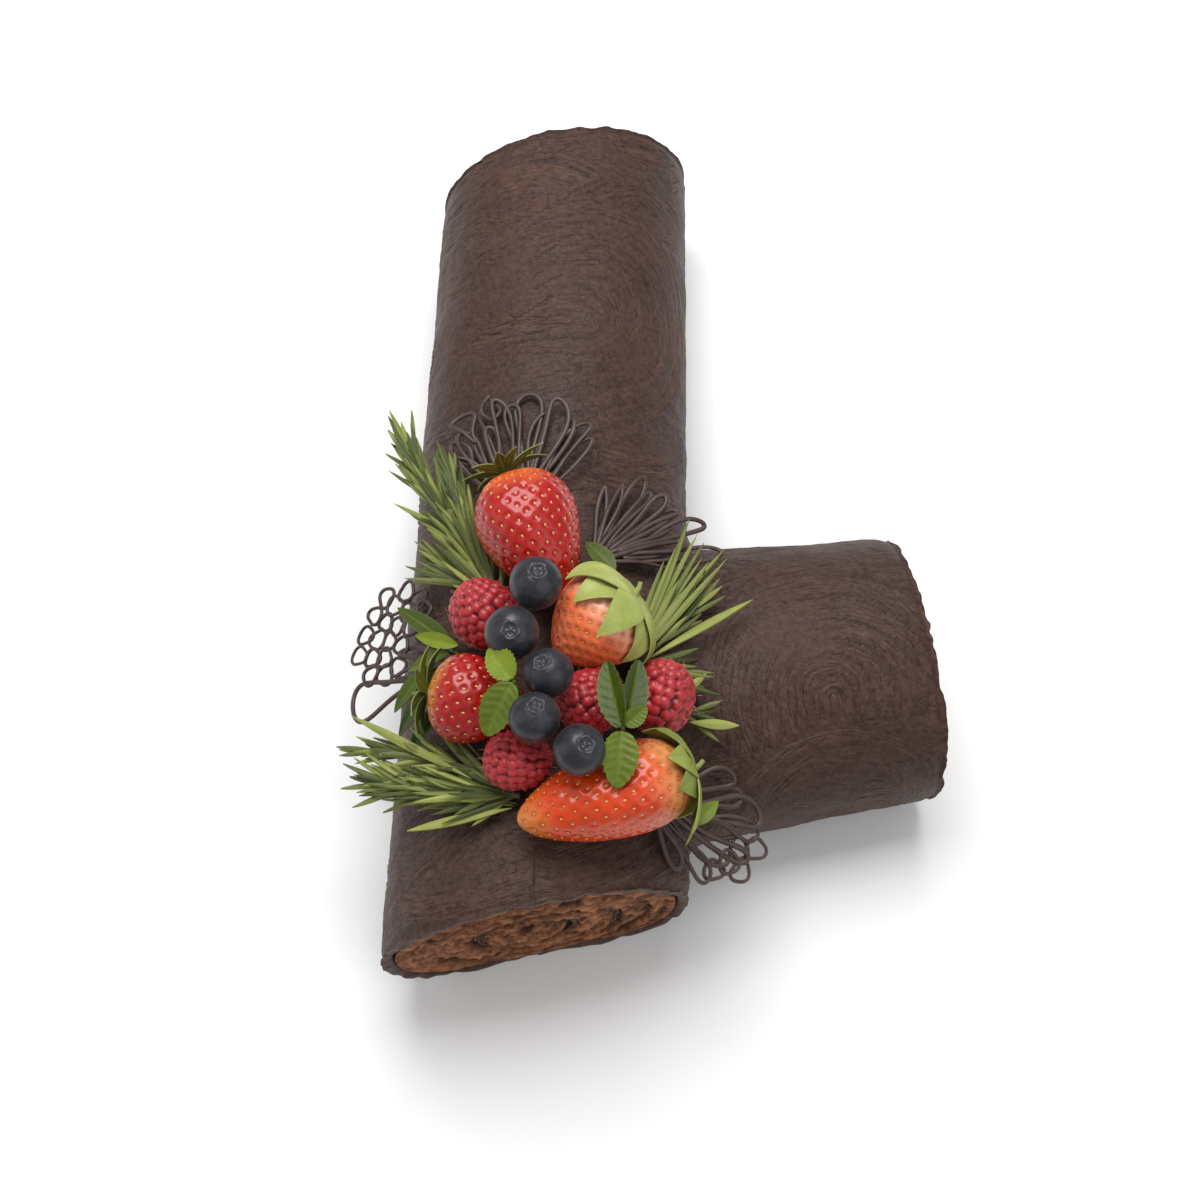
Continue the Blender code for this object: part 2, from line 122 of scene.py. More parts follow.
LACES = (
    Lace("lace_far", (-8, -15, 66.7), math.radians(92), (-0.164, 0, 1), math.radians(88), 31, 42, 31, (
        (-0.95, 0.10, 1.00, 0.13), (-0.76, 0.08, 1.00, 0.16), (-0.62, 0.12, 0.93, 0.07), (-0.44, 0.10, 1.00, 0.16),
        (-0.25, 0.20, 0.84, 0.09), (-0.10, 0.15, 0.98, 0.17), (0.08, 0.30, 0.90, 0.09), (0.22, 0.15, 0.98, 0.16),
        (0.40, 0.25, 0.80, 0.11), (0.52, 0.10, 0.95, 0.15), (0.72, 0.20, 0.95, 0.16), (0.92, 0.30, 0.85, 0.14),
        (0.62, 0.78, 1.05, 0.13), (0.85, 0.70, 1.00, 0.14), (0.31, 0.84, 1.04, 0.11)), ()),
    Lace("lace_corner", (13, -28, 65.6), math.radians(46), (0.27, 0, 1), math.radians(84), 24, 34, 41, (
        (-0.98, 0.15, 0.70, 0.06), (-0.84, 0.25, 1.02, 0.11), (-0.66, 0.10, 0.80, 0.09), (-0.46, 0.25, 1.06, 0.10),
        (-0.32, 0.10, 0.85, 0.10), (-0.18, 0.20, 0.95, 0.07), (0.00, 0.10, 0.95, 0.12), (0.20, 0.15, 0.90, 0.10),
        (0.36, 0.10, 1.00, 0.12), (0.58, 0.15, 0.90, 0.12), (0.82, 0.20, 0.90, 0.13)), ()),
    Lace("lace_left", (-21, -58, 63.8), math.radians(163), (-0.73, 0, 1), math.radians(66), 40, 45, 42, (
        (0.84, 0.50, 1.06, 0.34), (-0.5, 0.10, 0.60, 0.16), (0.1, 0.10, 0.60, 0.16), (0.6, 0.10, 0.62, 0.15)),
        ((0.60, -0.80, 0.40, 4), (0.72, -0.86, 0.52, 6), (0.84, -0.80, 0.50, 6), (0.96, -0.56, 0.22, 4))),
    Lace("lace_near", (30, -96, 60.0), math.radians(-25), (0.402, -0.402, 1), math.radians(88), 24, 36, 17, (
        (0.92, 0.30, 1.00, 0.24), (0.62, 0.20, 0.90, 0.22), (0.40, 0.35, 1.00, 0.25), (0.10, 0.10, 0.78, 0.16),
        (-0.10, 0.20, 0.96, 0.12), (-0.28, 0.10, 0.86, 0.14), (-0.55, 0.10, 0.95, 0.16), (-0.85, 0.10, 0.95, 0.18),
        (0.22, 0.50, 0.98, 0.14)),
        ((0.86, -0.42, -0.02, 3), (0.99, -0.36, -0.08, 2))),
)
MINT = (
    Leaf((-5.6, -75.5, 95.0), (-12.8, -66.3, 94.0), (-0.2, -0.3, 1.0), 8.0, 0.25, 0.12, 0.95, 9),
    Leaf((-5.8, -76.5, 95.0), (-12.8, -89.5, 91.0), (-0.1, -0.1, 1.0), 9.6, 0.30, 0.18, 0.50, 9),
    Leaf((22.7, -87.0, 91.5), (17.6, -68.5, 92.0), (-0.7, 0.1, 1.0), 8.0, 0.50, 0.08, 0.25, 9),
    Leaf((23.2, -87.0, 91.5), (27.6, -67.8, 92.0), (0.6, 0.1, 1.0), 7.5, 0.50, 0.12, 0.15, 9),
    Leaf((23.4, -86.5, 92.0), (28.8, -82.0, 94.0), (0.2, -0.3, 1.0), 5.0, 0.30, 0.10, 0.55, 9),
    Leaf((22.6, -88.0, 92.0), (21.8, -102.5, 91.0), (0.1, -0.1, 1.0), 9.6, 0.30, 0.15, 0.60, 9),
    Leaf((-24.0, -58.0, 73.0), (-41.5, -43.0, 66.0), (-0.3, 0.3, 1.0), 5.6, 0.35, 0.05, 0.20, 0),
    Leaf((-22.4, -58.5, 75.0), (-35.5, -54.0, 71.5), (-0.1, -0.3, 1.0), 4.4, 0.30, 0.12, 1.00, 0),
    Leaf((-25.0, -60.0, 73.0), (-37.5, -62.0, 66.0), (-0.2, 0.2, 1.0), 4.8, 0.30, 0.10, 0.40, 0),
    Leaf((-31.0, -63.5, 70.0), (-41.0, -73.5, 63.0), (-0.5, 0.0, 1.0), 5.0, 0.35, 0.10, 0.30, 0),
    Leaf((-30.0, -70.0, 70.0), (-40.0, -80.0, 62.0), (-0.5, 0.0, 1.0), 4.6, 0.35, 0.15, 0.10, 0),
    Leaf((-28.0, -74.0, 68.0), (-36.0, -86.0, 63.0), (-0.5, 0.0, 1.0), 5.0, 0.30, 0.15, 0.05, 0),
    Leaf((20.0, -36.5, 78.0), (11.5, -26.0, 77.0), (0.1, 0.0, 1.0), 5.6, 0.20, 0.15, 0.30, 0),
    Leaf((41.5, -105.5, 69.0), (49.0, -99.0, 69.5), (0.4, 0.0, 1.0), 4.6, 0.30, 0.20, 0.90, 0),
)
SPRIGS = (
    Sprig("rosemary_left", ((-12, -44, 70), (-27, -19, 68), (-42, 9, 62)), 96, 23.0, 0.46, (-0.35, 0.0, 1.0), 31),
    Sprig("rosemary_inner", ((-12, -42, 71), (-21, -22, 70), (-28, -2, 68)), 36, 20.0, 0.40, (-0.2, 0.0, 1.0), 35),
    Sprig("rosemary_near", ((-4, -99, 70), (-22, -97, 67), (-40, -94, 62)), 76, 20.0, 0.52, (-0.3, 0.0, 1.0), 32),
    Sprig("rosemary_under", ((-8, -95, 68), (-28, -88, 66), (-46, -84, 59)), 34, 16.0, 0.45, (-0.4, 0.0, 1.0), 34),
    Sprig("rosemary_right", ((26, -60, 67), (36, -49, 65), (43, -40, 64)), 12, 18.0, 0.50, (0.3, 0.0, 1.0), 33),
)
FANS = (
    Fan((25, -59, 69), (37, -15, 69), (53, -27, 66), 14, 1.7, 0.50, 51),
    Fan((29, -60, 71), (58.7, -36.5, 67), (58.9, -37.0, 67), 1, 3.0, 0.95, 52),
    Fan((27, -62, 70), (46, -55, 65), (52, -66, 62), 6, 1.6, 0.35, 53),
    Fan((41, -75.5, 65), (55, -75.5, 63), (55, -75.8, 63), 1, 2.8, 0.95, 54),
    Fan((39, -68, 66), (46, -61, 65), (47, -61.5, 65), 1, 2.2, 0.85, 55),
    Fan((40, -72, 63), (52, -69, 62), (50, -80, 60), 6, 1.5, 0.25, 56),
    Fan((-16, -37, 65), (-46, -16, 62), (-43, -30, 58), 11, 1.9, 0.40, 57),
    Fan((-17, -95, 71), (-53.0, -74.5, 64), (-53.5, -75.0, 64), 1, 2.8, 0.85, 58),
    Fan((-6, -102.5, 70), (-34, -108, 68), (-34, -108.5, 68), 1, 3.2, 0.95, 59),
    Fan((-6, -100, 69), (-40, -101, 64), (-50, -88, 60), 9, 1.9, 0.55, 60),
)


# ---------------------------------------------------------------- small tools

def soft_noise(points, size, seed):
    """Smooth noise from -1 to 1 at each point, with lumps about size across."""
    spot = np.asarray(points, float) / size
    cell = np.floor(spot).astype(np.int64)
    part = spot - cell
    part = part * part * (3 - 2 * part)
    total = np.zeros(len(spot))
    for corner in range(8):
        step = np.array([corner & 1, corner >> 1 & 1, corner >> 2 & 1])
        at = cell + step
        mixed = at[:, 0] * 73856093 ^ at[:, 1] * 19349663 ^ at[:, 2] * 83492791 ^ seed * 2654435761
        mixed = (mixed ^ mixed >> 13) * 1274126177 & 0xFFFFFFFF
        value = ((mixed ^ mixed >> 16) & 0xFFFF) / 32767.5 - 1
        share = np.prod(np.where(step, part, 1 - part), axis=1)
        total += value * share
    return total


def many_noise(points, size, seed, layers=3):
    """Noise summed over layers, each half the size and strength of the one before."""
    total = np.zeros(len(points))
    for layer in range(layers):
        total += soft_noise(points, size / 2 ** layer, seed + layer) / 2 ** layer
    return total


def grid_faces(rows, columns, wrap=True):
    """Quads over a grid of points; wrap joins the last column to the first."""
    row = np.arange(rows - 1)[:, None]
    column = np.arange(columns if wrap else columns - 1)[None, :]
    after = (column + 1) % columns
    a = row * columns + column
    b = row * columns + after
    return np.stack([a, b, b + columns, a + columns], axis=-1).reshape(-1, 4).tolist()


def closed_grid(points):
    """A round grid's points and faces, with a point and a fan of triangles at each end."""
    rows, columns = points.shape[:2]
    flat = points.reshape(-1, 3)
    ends = np.stack([points[0].mean(axis=0), points[-1].mean(axis=0)])
    faces = grid_faces(rows, columns)
    first = rows * columns
    for column in range(columns):
        after = (column + 1) % columns
        faces.append([first, after, column])
        last = (rows - 1) * columns
        faces.append([first + 1, last + column, last + after])
    return np.vstack([flat, ends]), faces


def new_piece(name, points, faces, material, sharp=60):
    """A mesh object from points in millimetres."""
    mesh = bpy.data.meshes.new(name)
    mesh.from_pydata((np.asarray(points) * MM).tolist(), [], faces)
    mesh.materials.append(material)
    mesh.shade_smooth()
    mesh.set_sharp_from_angle(angle=math.radians(sharp))
    piece = bpy.data.objects.new(name, mesh)
    bpy.context.scene.collection.objects.link(piece)
    return piece


def write_value(piece, name, values):
    """Store one number per point for the material to read."""
    attribute = piece.data.attributes.new(name, "FLOAT", "POINT")
    attribute.data.foreach_set("value", np.asarray(values, np.float32))


def settle(piece, slot, *nodes):
    """Let a piece ride on the cake, in place of the plain solids it stands for."""
    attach(piece, "root")
    if nodes:
        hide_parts(*nodes)


def turn_to(axis):
    """The rotation that stands +Z along an axis, as an array."""
    return np.array(Vector(axis).to_track_quat("Z", "Y").to_matrix())


def tube(path, radius, sides=6, closed=False, flatten=1.0, up=(0, 0, 1)):
    """Points and faces of a tube along a path; radius may differ from point to point."""
    path = np.asarray(path, float)
    count = len(path)
    if closed:
        ahead = np.roll(path, -1, axis=0) - np.roll(path, 1, axis=0)
    else:
        ahead = np.gradient(path, axis=0)
    ahead /= np.linalg.norm(ahead, axis=1, keepdims=True) + 1e-9
    side = np.cross(ahead, np.asarray(up, float))
    side /= np.linalg.norm(side, axis=1, keepdims=True) + 1e-9
    top = np.cross(side, ahead)
    width = np.broadcast_to(np.asarray(radius, float), (count,))[:, None, None]
    angle = TAU * np.arange(sides) / sides
    ring = side[:, None] * np.cos(angle)[None, :, None]
    ring = ring + top[:, None] * (np.sin(angle) * flatten)[None, :, None]
    points = path[:, None] + ring * width
    if closed:
        faces = grid_faces(count, sides)
        for column in range(sides):
            after = (column + 1) % sides
            last = (count - 1) * sides
            faces.append([last + column, last + after, after, column])
        return points.reshape(-1, 3), faces
    return closed_grid(points)


def gather(parts):
    """Join several (points, faces) into one."""
    points = []
    faces = []
    start = 0
    for part_points, part_faces in parts:
        points.append(np.asarray(part_points))
        faces.extend([[start + index for index in face] for face in part_faces])
        start += len(part_points)
    return np.vstack(points), faces


# ---------------------------------------------------------------- materials

class Finish:
    """A material being made: its nodes, its links and its Principled shader."""

    def __init__(self, name):
        self.material = bpy.data.materials.new(name)
        self.material.use_nodes = True
        self.tree = self.material.node_tree
        self.shader = self.tree.nodes["Principled BSDF"]

    def node(self, kind, **settings):
        """Add a node and set its properties."""
        made = self.tree.nodes.new(kind)
        for name, value in settings.items():
            setattr(made, name, value)
        return made

    def link(self, source, target):
        """Join two sockets."""
        self.tree.links.new(source, target)

    def set(self, **values):
        """Set the shader's own sockets, named with _ for a space."""
        for name, value in values.items():
            self.shader.inputs[name.replace("_", " ")].default_value = value

    def value(self, name):
        """A number stored on the mesh."""
        return self.node("ShaderNodeAttribute", attribute_name=name).outputs["Fac"]

    def math(self, operation, first, second=0.0):
        """One step of arithmetic on sockets or numbers."""
        made = self.node("ShaderNodeMath", operation=operation)
        for socket, entry in zip(made.inputs, (first, second)):
            if isinstance(entry, (int, float)):
                socket.default_value = entry
            else:
                self.link(entry, socket)
        return made.outputs[0]

    def mix(self, share, first, second):
        """Mix two colours."""
        made = self.node("ShaderNodeMix", data_type="RGBA")
        for socket, entry in zip((made.inputs[0], made.inputs[6], made.inputs[7]), (share, first, second)):
            if isinstance(entry, (int, float)):
                socket.default_value = entry
            elif isinstance(entry, tuple):
                socket.default_value = (*entry, 1.0)
            else:
                self.link(entry, socket)
        return made.outputs[2]

    def tint(self, first, second):
        """Multiply two colours."""
        made = self.node("ShaderNodeMix", data_type="RGBA", blend_type="MULTIPLY")
        made.inputs[0].default_value = 1.0
        self.link(first, made.inputs[6])
        self.link(second, made.inputs[7])
        return made.outputs[2]

    def group(self, group, **values):
        """Place a shared effect with its own values."""
        made = self.node("ShaderNodeGroup")
        made.node_tree = group
        for name, value in values.items():
            socket = made.inputs[name.replace("_", " ")]
            if isinstance(value, tuple):
                value = (*value, 1.0) if len(value) == 3 else value
            if isinstance(value, (int, float, tuple)):
                socket.default_value = value
            else:
                self.link(value, socket)
        return made.outputs

    def bump(self, height, strength, distance):
        """Feed a height to the shader's normal."""
        made = self.node("ShaderNodeBump")
        made.inputs["Strength"].default_value = strength
        made.inputs["Distance"].default_value = distance * MM
        self.link(height, made.inputs["Height"])
        self.link(made.outputs[0], self.shader.inputs["Normal"])


def srgb(red, green, blue):
    """A colour from screen values of 0 to 255."""
    channels = []
    for channel in (red, green, blue):
        share = channel / 255
        channels.append(share / 12.92 if share <= 0.04045 else ((share + 0.055) / 1.055) ** 2.4)
    return tuple(channels)


def effect_group(name, inputs, outputs):
    """An empty shader node group with its sockets."""
    group = bpy.data.node_groups.new(name, "ShaderNodeTree")
    for label, kind, default in inputs:
        socket = group.interface.new_socket(label, in_out="INPUT", socket_type=kind)
        socket.default_value = default
    for label, kind in outputs:
        group.interface.new_socket(label, in_out="OUTPUT", socket_type=kind)
    start = group.nodes.new("NodeGroupInput")
    end = group.nodes.new("NodeGroupOutput")
    return group, start, end


def mottle_group():
    """Two colours in uneven patches of two sizes."""
    colour = "NodeSocketColor"
    number = "NodeSocketFloat"
    inputs = (("First", colour, (0.5, 0.5, 0.5, 1)), ("Second", colour, (0.6, 0.6, 0.6, 1)),
              ("Scale", number, 60.0), ("Contrast", number, 1.5))
    group, start, end = effect_group("mottle", inputs, (("Colour", colour), ("Mask", number)))
    place = group.nodes.new("ShaderNodeTexCoord")
    noise = group.nodes.new("ShaderNodeTexNoise")
    noise.inputs["Detail"].default_value = 4.0
    noise.inputs["Roughness"].default_value = 0.6
    group.links.new(place.outputs["Object"], noise.inputs["Vector"])
    group.links.new(start.outputs["Scale"], noise.inputs["Scale"])
    centre = group.nodes.new("ShaderNodeMath")
    centre.operation = "SUBTRACT"
    centre.inputs[1].default_value = 0.5
    spread = group.nodes.new("ShaderNodeMath")
    spread.operation = "MULTIPLY_ADD"
    spread.use_clamp = True
    spread.inputs[2].default_value = 0.5
    group.links.new(noise.outputs[0], centre.inputs[0])
    group.links.new(centre.outputs[0], spread.inputs[0])
    group.links.new(start.outputs["Contrast"], spread.inputs[1])
    mix = group.nodes.new("ShaderNodeMix")
    mix.data_type = "RGBA"
    group.links.new(spread.outputs[0], mix.inputs[0])
    group.links.new(start.outputs["First"], mix.inputs[6])
    group.links.new(start.outputs["Second"], mix.inputs[7])
    group.links.new(mix.outputs[2], end.inputs["Colour"])
    group.links.new(spread.outputs[0], end.inputs["Mask"])
    return group


def grain_group():
    """A fine uneven height: soft lumps with small pits in them."""
    number = "NodeSocketFloat"
    inputs = (("Lumps", number, 200.0), ("Pits", number, 900.0), ("Pit depth", number, 0.4))
    group, start, end = effect_group("grain", inputs, (("Height", number),))
    place = group.nodes.new("ShaderNodeTexCoord")
    lumps = group.nodes.new("ShaderNodeTexNoise")
    lumps.inputs["Detail"].default_value = 3.0
    pits = group.nodes.new("ShaderNodeTexVoronoi")
    for texture, label in ((lumps, "Lumps"), (pits, "Pits")):
        group.links.new(place.outputs["Object"], texture.inputs["Vector"])
        group.links.new(start.outputs[label], texture.inputs["Scale"])
    deep = group.nodes.new("ShaderNodeMath")
    deep.operation = "MULTIPLY"
    group.links.new(pits.outputs["Distance"], deep.inputs[0])
    group.links.new(start.outputs["Pit depth"], deep.inputs[1])
    total = group.nodes.new("ShaderNodeMath")
    group.links.new(lumps.outputs[0], total.inputs[0])
    group.links.new(deep.outputs[0], total.inputs[1])
    group.links.new(total.outputs[0], end.inputs["Height"])
    return group


def shared(name):
    """A shared effect, made the first time it is asked for."""
    makers = {"mottle": mottle_group, "grain": grain_group}
    return bpy.data.node_groups.get(name) or makers[name]()


# ---------------------------------------------------------------- logs

def section_point(width, height, angle):
    """A point of a log's section: a half ellipse on top of a squarer lower half that lies flat."""
    widest = WIDEST * height
    across = np.cos(angle)
    up = np.sin(angle)
    squareness = 0.72
    low_x = np.copysign(np.abs(across) ** squareness, across) * width / 2
    low_z = np.maximum(0.0, widest - widest * 1.10 * np.abs(up) ** squareness)
    x = np.where(up >= 0, width / 2 * across, low_x)
    z = np.where(up >= 0, widest + (height - widest) * up, low_z)
    return x, z


def section_table(log):
    """Points round a log's section from its base, with their outward directions and run lengths."""
    width = (log.width_start + log.width_end) / 2
    angle = np.linspace(-0.25, 0.75, 2881) * TAU
    x, z = section_point(width, log.height, angle)
    step = np.hypot(np.diff(x), np.diff(z))
    run = np.concatenate([[0.0], np.cumsum(step)])
    dx = np.gradient(x)
    dz = np.gradient(z)
    size = np.hypot(dx, dz) + 1e-9
    top = np.interp(0.25 * TAU, angle, run)
    return x, z, dz / size, -dx / size, run, top


def place_on_log(log, side, share, up, along_offset=0.0):
    """Bend flat section points along a log, with its taper and its slanted ends."""
    middle = (log.width_start + log.width_end) / 2
    near = side * log.width_start / middle
    far = side * log.width_end / middle
    near_along = log.start + near * math.tan(log.slant_start)
    far_along = log.end + far * math.tan(log.slant_end)
    across = near + (far - near) * share
    along = near_along + (far_along - near_along) * share + along_offset
    forward = np.array([math.cos(log.turn), math.sin(log.turn)])
    right = np.array([forward[1], -forward[0]])
    place = np.array(log.root) + along[..., None] * forward + across[..., None] * right
    return np.concatenate([place, np.broadcast_to(up, along.shape)[..., None]], axis=-1)


def depth_in_log(log, points):
    """How far each point stands outside a log's side, about; negative inside."""
    forward = np.array([math.cos(log.turn), math.sin(log.turn)])
    right = np.array([forward[1], -forward[0]])
    flat = points[:, :2] - np.array(log.root)
    along = flat @ forward
    share = np.clip((along - log.start) / (log.end - log.start), 0, 1)
    width = log.width_start + (log.width_end - log.width_start) * share
    across = flat @ right
    up = points[:, 2] - WIDEST * log.height
    angle = np.arctan2(up / log.height, across / width)
    x, z = section_point(width, log.height, angle)
    reach = np.hypot(x, z - WIDEST * log.height)
    beyond = np.maximum(log.start - along, along - log.end)
    return np.hypot(across, up) - reach + np.maximum(beyond, 0.0) * 3


def comb_marks(u, v, strokes):
    """Comb strokes laid over one another: the distances across and along each, its layer, lips and fading edges."""
    across = v * 1.0
    along = u * 1.0
    layer = np.zeros_like(u)
    lip = np.zeros_like(u)
    fade = np.ones_like(u)
    for stroke in strokes:
        du = u - stroke.u
        dv = v - stroke.v
        ahead = du * math.cos(stroke.opening) + dv * math.sin(stroke.opening)
        aside = dv * math.cos(stroke.opening) - du * math.sin(stroke.opening)
        away = np.abs(aside)
        distance = np.where(ahead > 0, away, np.hypot(ahead, aside))
        bend = np.arctan2(away, -ahead) * distance
        run = np.copysign(np.where(ahead > 0, math.pi / 2 * distance + ahead, bend), aside)
        inner_gap = distance - stroke.inner if stroke.inner else 99.0
        across_gap = np.minimum(inner_gap, stroke.outer - distance)
        edge = np.minimum(across_gap, np.minimum(run - stroke.low, stroke.high - run))
        inside = edge > 0
        across = np.where(inside, distance, across)
        along = np.where(inside, run, along)
        layer = np.where(inside, stroke.layer, layer)
        nearby = np.clip(np.abs(edge) / STROKE_FADE, 0, 1)
        fade = np.where(inside, nearby, np.minimum(fade, nearby))
        bead = stroke.lip * np.exp(-(edge / BEAD_WIDTH) ** 2)
        lip = np.where(inside, bead, np.maximum(lip, bead))
    return across, along, layer, lip, fade


def scattered_strokes(u_range, v_range, facing, spacing, seed):
    """Long, gently curved strokes over a whole coat, leaning to and fro about one way."""
    rng = random.Random(seed)
    strokes = []
    v = v_range[0]
    while v < v_range[1]:
        u = u_range[0] + rng.uniform(0, 12)
        while u < u_range[1]:
            radius = rng.uniform(30, 80)
            half = rng.uniform(5.5, 9.0)
            opening = facing + rng.choice((0, math.pi)) + rng.uniform(-0.45, 0.45)
            reach = rng.uniform(14, 26)
            strokes.append(Stroke(
                u + radius * math.cos(opening), v + radius * math.sin(opening), opening,
                radius - half, radius + half, -reach, reach, rng.uniform(1, 90), rng.uniform(0.0, 0.12),
            ))
            u += rng.uniform(0.8, 1.3) * spacing[0]
        v += rng.uniform(0.8, 1.3) * spacing[1]
    rng.shuffle(strokes)
    return strokes


def swirl(u, v, opening, radii, legs, seed):
    """Nested round strokes with straight legs, the widest first."""
    rng = random.Random(seed)
    strokes = []
    for outer, inner in zip(radii[:-1], radii[1:]):
        turn = math.radians(opening + rng.uniform(-14, 14))
        strokes.append(Stroke(
            u + rng.uniform(-1.3, 1.3), v + rng.uniform(-1.3, 1.3), turn, inner, outer + 0.8,
            -math.pi / 2 * outer - legs[0] * rng.uniform(0.7, 1.2),
            math.pi / 2 * outer + legs[1] * rng.uniform(0.7, 1.2),
            rng.uniform(1, 90), rng.uniform(0.05, 0.25),
        ))
    return strokes


def coat_mesh(name, log, pitch, strokes, other, seed, material, first_share, end_folds):
    """One log's coat of frosting: a fine grid with comb ridges, lips, lumps and rolled-in ends."""
    x, z, out_x, out_z, run, top = section_table(log)
    stations = [0.0]
    while stations[-1] < run[-1] - pitch:
        height = np.interp(stations[-1], run, z)
        stations.append(stations[-1] + (pitch if height > 6.0 else 4 * pitch))
    stations = np.array(stations) * run[-1] / (stations[-1] + pitch)
    side, up, out_side, out_up = (np.interp(stations, run, column) for column in (x, z, out_x, out_z))
    u = top - stations
    length = log.end - log.start
    rows = round(length * (1 - first_share) / pitch)
    shares = np.linspace(first_share, 1.0, rows)
    folds = ((0.0, 0.10), (-0.15, 0.9), (-0.1, 1.8), (0.2, 2.7), (0.8, 3.3), (2.5, 3.4), (6.0, 3.4))
    table = [(share, 0.0, 0.0) for share in shares]
    if end_folds[0]:
        table = [(0.0, inward, inset) for inward, inset in folds][::-1] + table[1:]
    if end_folds[1]:
        table = table[:-1] + [(1.0, -inward, inset) for inward, inset in folds]
    share, inward, inset = (np.array(column)[:, None] * np.ones(len(u)) for column in zip(*table))
    edge = np.full_like(share, 99.0)
    if end_folds[0]:
        edge = np.minimum(edge, share * length)
    if end_folds[1]:
        edge = np.minimum(edge, (1 - share) * length)
    v = log.start + share * length
    place = np.stack([np.broadcast_to(u, v.shape).ravel(), v.ravel(), np.zeros(v.size)], axis=1)
    across, along, layer, lip, fade = comb_marks(place[:, 0], place[:, 1], strokes)
    flow = np.stack([across, along, layer * 7.0], axis=1)
    wander = soft_noise(flow * [0.0, 1.0, 1.0], 14.0, seed + 5) * 0.9
    wave = np.cos(TAU * (across + wander) / COMB_PITCH)
    streak = soft_noise(flow * [1.0, 0.12, 1.0], 1.25, seed + 6)
    smear = np.clip(0.75 + 0.7 * soft_noise(place, 13.0, seed + 1), 0.25, 1.0)
    ridge = (0.40 * wave + 0.80 * streak) * (0.08 + 0.92 * fade) * smear
    lumps = 0.50 * many_noise(place, 26.0, seed + 2) + 0.12 * soft_noise(place, 3.2, seed + 3)
    height = lumps + 0.36 * ridge + lip
    calm = np.clip(edge.ravel() / 4.0, 0.35, 1.0)
    folded = inset.ravel() > 0.05
    base_calm = np.clip(np.broadcast_to(up, v.shape).ravel() / 4.0, 0.0, 1.0)
    rim = 0.9 * np.exp(-(edge.ravel() / 2.2) ** 2) * ~folded
    offset = np.where(folded, -inset.ravel(), height * calm * base_calm - rim).reshape(v.shape)
    ragged = 0.8 * many_noise(place * [1, 0, 1] + [0, 7, 0], 5.0, seed + 4)
    slide = inward.ravel() + ragged * (edge.ravel() < 1.0) * (np.abs(inward.ravel()) < 2)
    points = place_on_log(
        log, side + out_side * offset, share, np.maximum(up + out_up * offset, 0.05), slide.reshape(v.shape),
    ).reshape(-1, 3)
    if other:
        outward = place_on_log(log, side + out_side, share, up + out_up).reshape(-1, 3)
        outward -= place_on_log(log, side, share, up).reshape(-1, 3)
        apart = depth_in_log(other, points)
        fillet = np.clip(1 - np.abs(apart) / FILLET_REACH, 0, 1) ** 2 * FILLET_RISE
        points += outward * (fillet * (points[:, 2] > 3))[:, None]
        points[:, 2] = np.maximum(points[:, 2], 0.05)
    piece = new_piece(name, points, grid_faces(len(table), len(u)), material, sharp=85)
    # The ridge height also sets the coat's colour: painted highlight on the crests, painted shade in the grooves.
    write_value(piece, "ridge", ridge)
    write_value(piece, "smear", smear * fade)
    marks = piece.data.attributes.new("flow", "FLOAT_VECTOR", "POINT")
    marks.data.foreach_set("vector", flow.astype(np.float32).ravel())
    return piece


def frosting_finish(looks):
    """Dark chocolate cream, its colour painted lighter on the combed ridges (painted highlight) and darker in the
    hollows (painted shade).
    """
    finish = Finish("frosting")
    mottle = finish.group(shared("mottle"), First=tuple(looks.frosting_dark), Second=tuple(looks.frosting_light),
                          Scale=24.0, Contrast=1.8)
    flow = finish.node("ShaderNodeAttribute", attribute_name="flow")
    stretch = finish.node("ShaderNodeMapping")
    stretch.inputs["Scale"].default_value = (1.5, 0.22, 1.0)
    finish.link(flow.outputs["Vector"], stretch.inputs["Vector"])
    hairs = finish.node("ShaderNodeTexNoise")
    hairs.inputs["Scale"].default_value = 1.0
    hairs.inputs["Detail"].default_value = 2.0
    finish.link(stretch.outputs[0], hairs.inputs["Vector"])
    line = finish.node("ShaderNodeMapRange")
    finish.link(hairs.outputs[0], line.inputs["Value"])
    line.inputs["From Min"].default_value = 0.28
    line.inputs["From Max"].default_value = 0.72
    # Ridge and streak heights drive a dark-to-light ramp: painted shade in the grooves, painted highlight on the
    # crests.
    ridge = finish.math("MULTIPLY_ADD", finish.value("ridge"), 0.5)
    ridge.node.inputs[2].default_value = 0.5
    share = finish.math("MULTIPLY", finish.math("ADD", ridge, line.outputs[0]), 0.5)
    ramp = finish.node("ShaderNodeValToRGB")
    stops = ramp.color_ramp.elements
    stops[0].position = 0.25
    stops[0].color = (*srgb(24, 12, 8), 1)
    stops[1].position = 0.78
    stops[1].color = (*srgb(94, 68, 56), 1)
    finish.link(share, ramp.inputs[0])
    ridge_shading_share = finish.math("MULTIPLY", finish.value("smear"), 0.65)
    cream = finish.mix(ridge_shading_share, mottle["Colour"], ramp.outputs[0])
    # Fine light specks mixed into the coat's colour: painted glints.
    glint_speckle = finish.group(shared("mottle"), Scale=620.0, Contrast=5.0)
    glint_share = finish.math("MULTIPLY", glint_speckle["Mask"], 0.22)
    finish.link(finish.mix(glint_share, cream, srgb(104, 80, 70)), finish.shader.inputs["Base Color"])
    grain = finish.group(shared("grain"), Lumps=900.0, Pits=1500.0, Pit_depth=0.35)
    deep = finish.math("MULTIPLY", finish.math("SUBTRACT", line.outputs[0], 0.5), finish.value("smear"))
    height = finish.math("ADD", deep, finish.math("MULTIPLY", grain["Height"], 0.6))
    finish.bump(height, 0.75, 0.55)
    rough = finish.math("ADD", finish.math("MULTIPLY", mottle["Mask"], 0.16), 0.46)
    finish.link(rough, finish.shader.inputs["Roughness"])
    finish.set(Specular_IOR_Level=0.24, Sheen_Weight=0.04, Sheen_Roughness=0.4)
    return finish.material


# ---------------------------------------------------------------- sponge

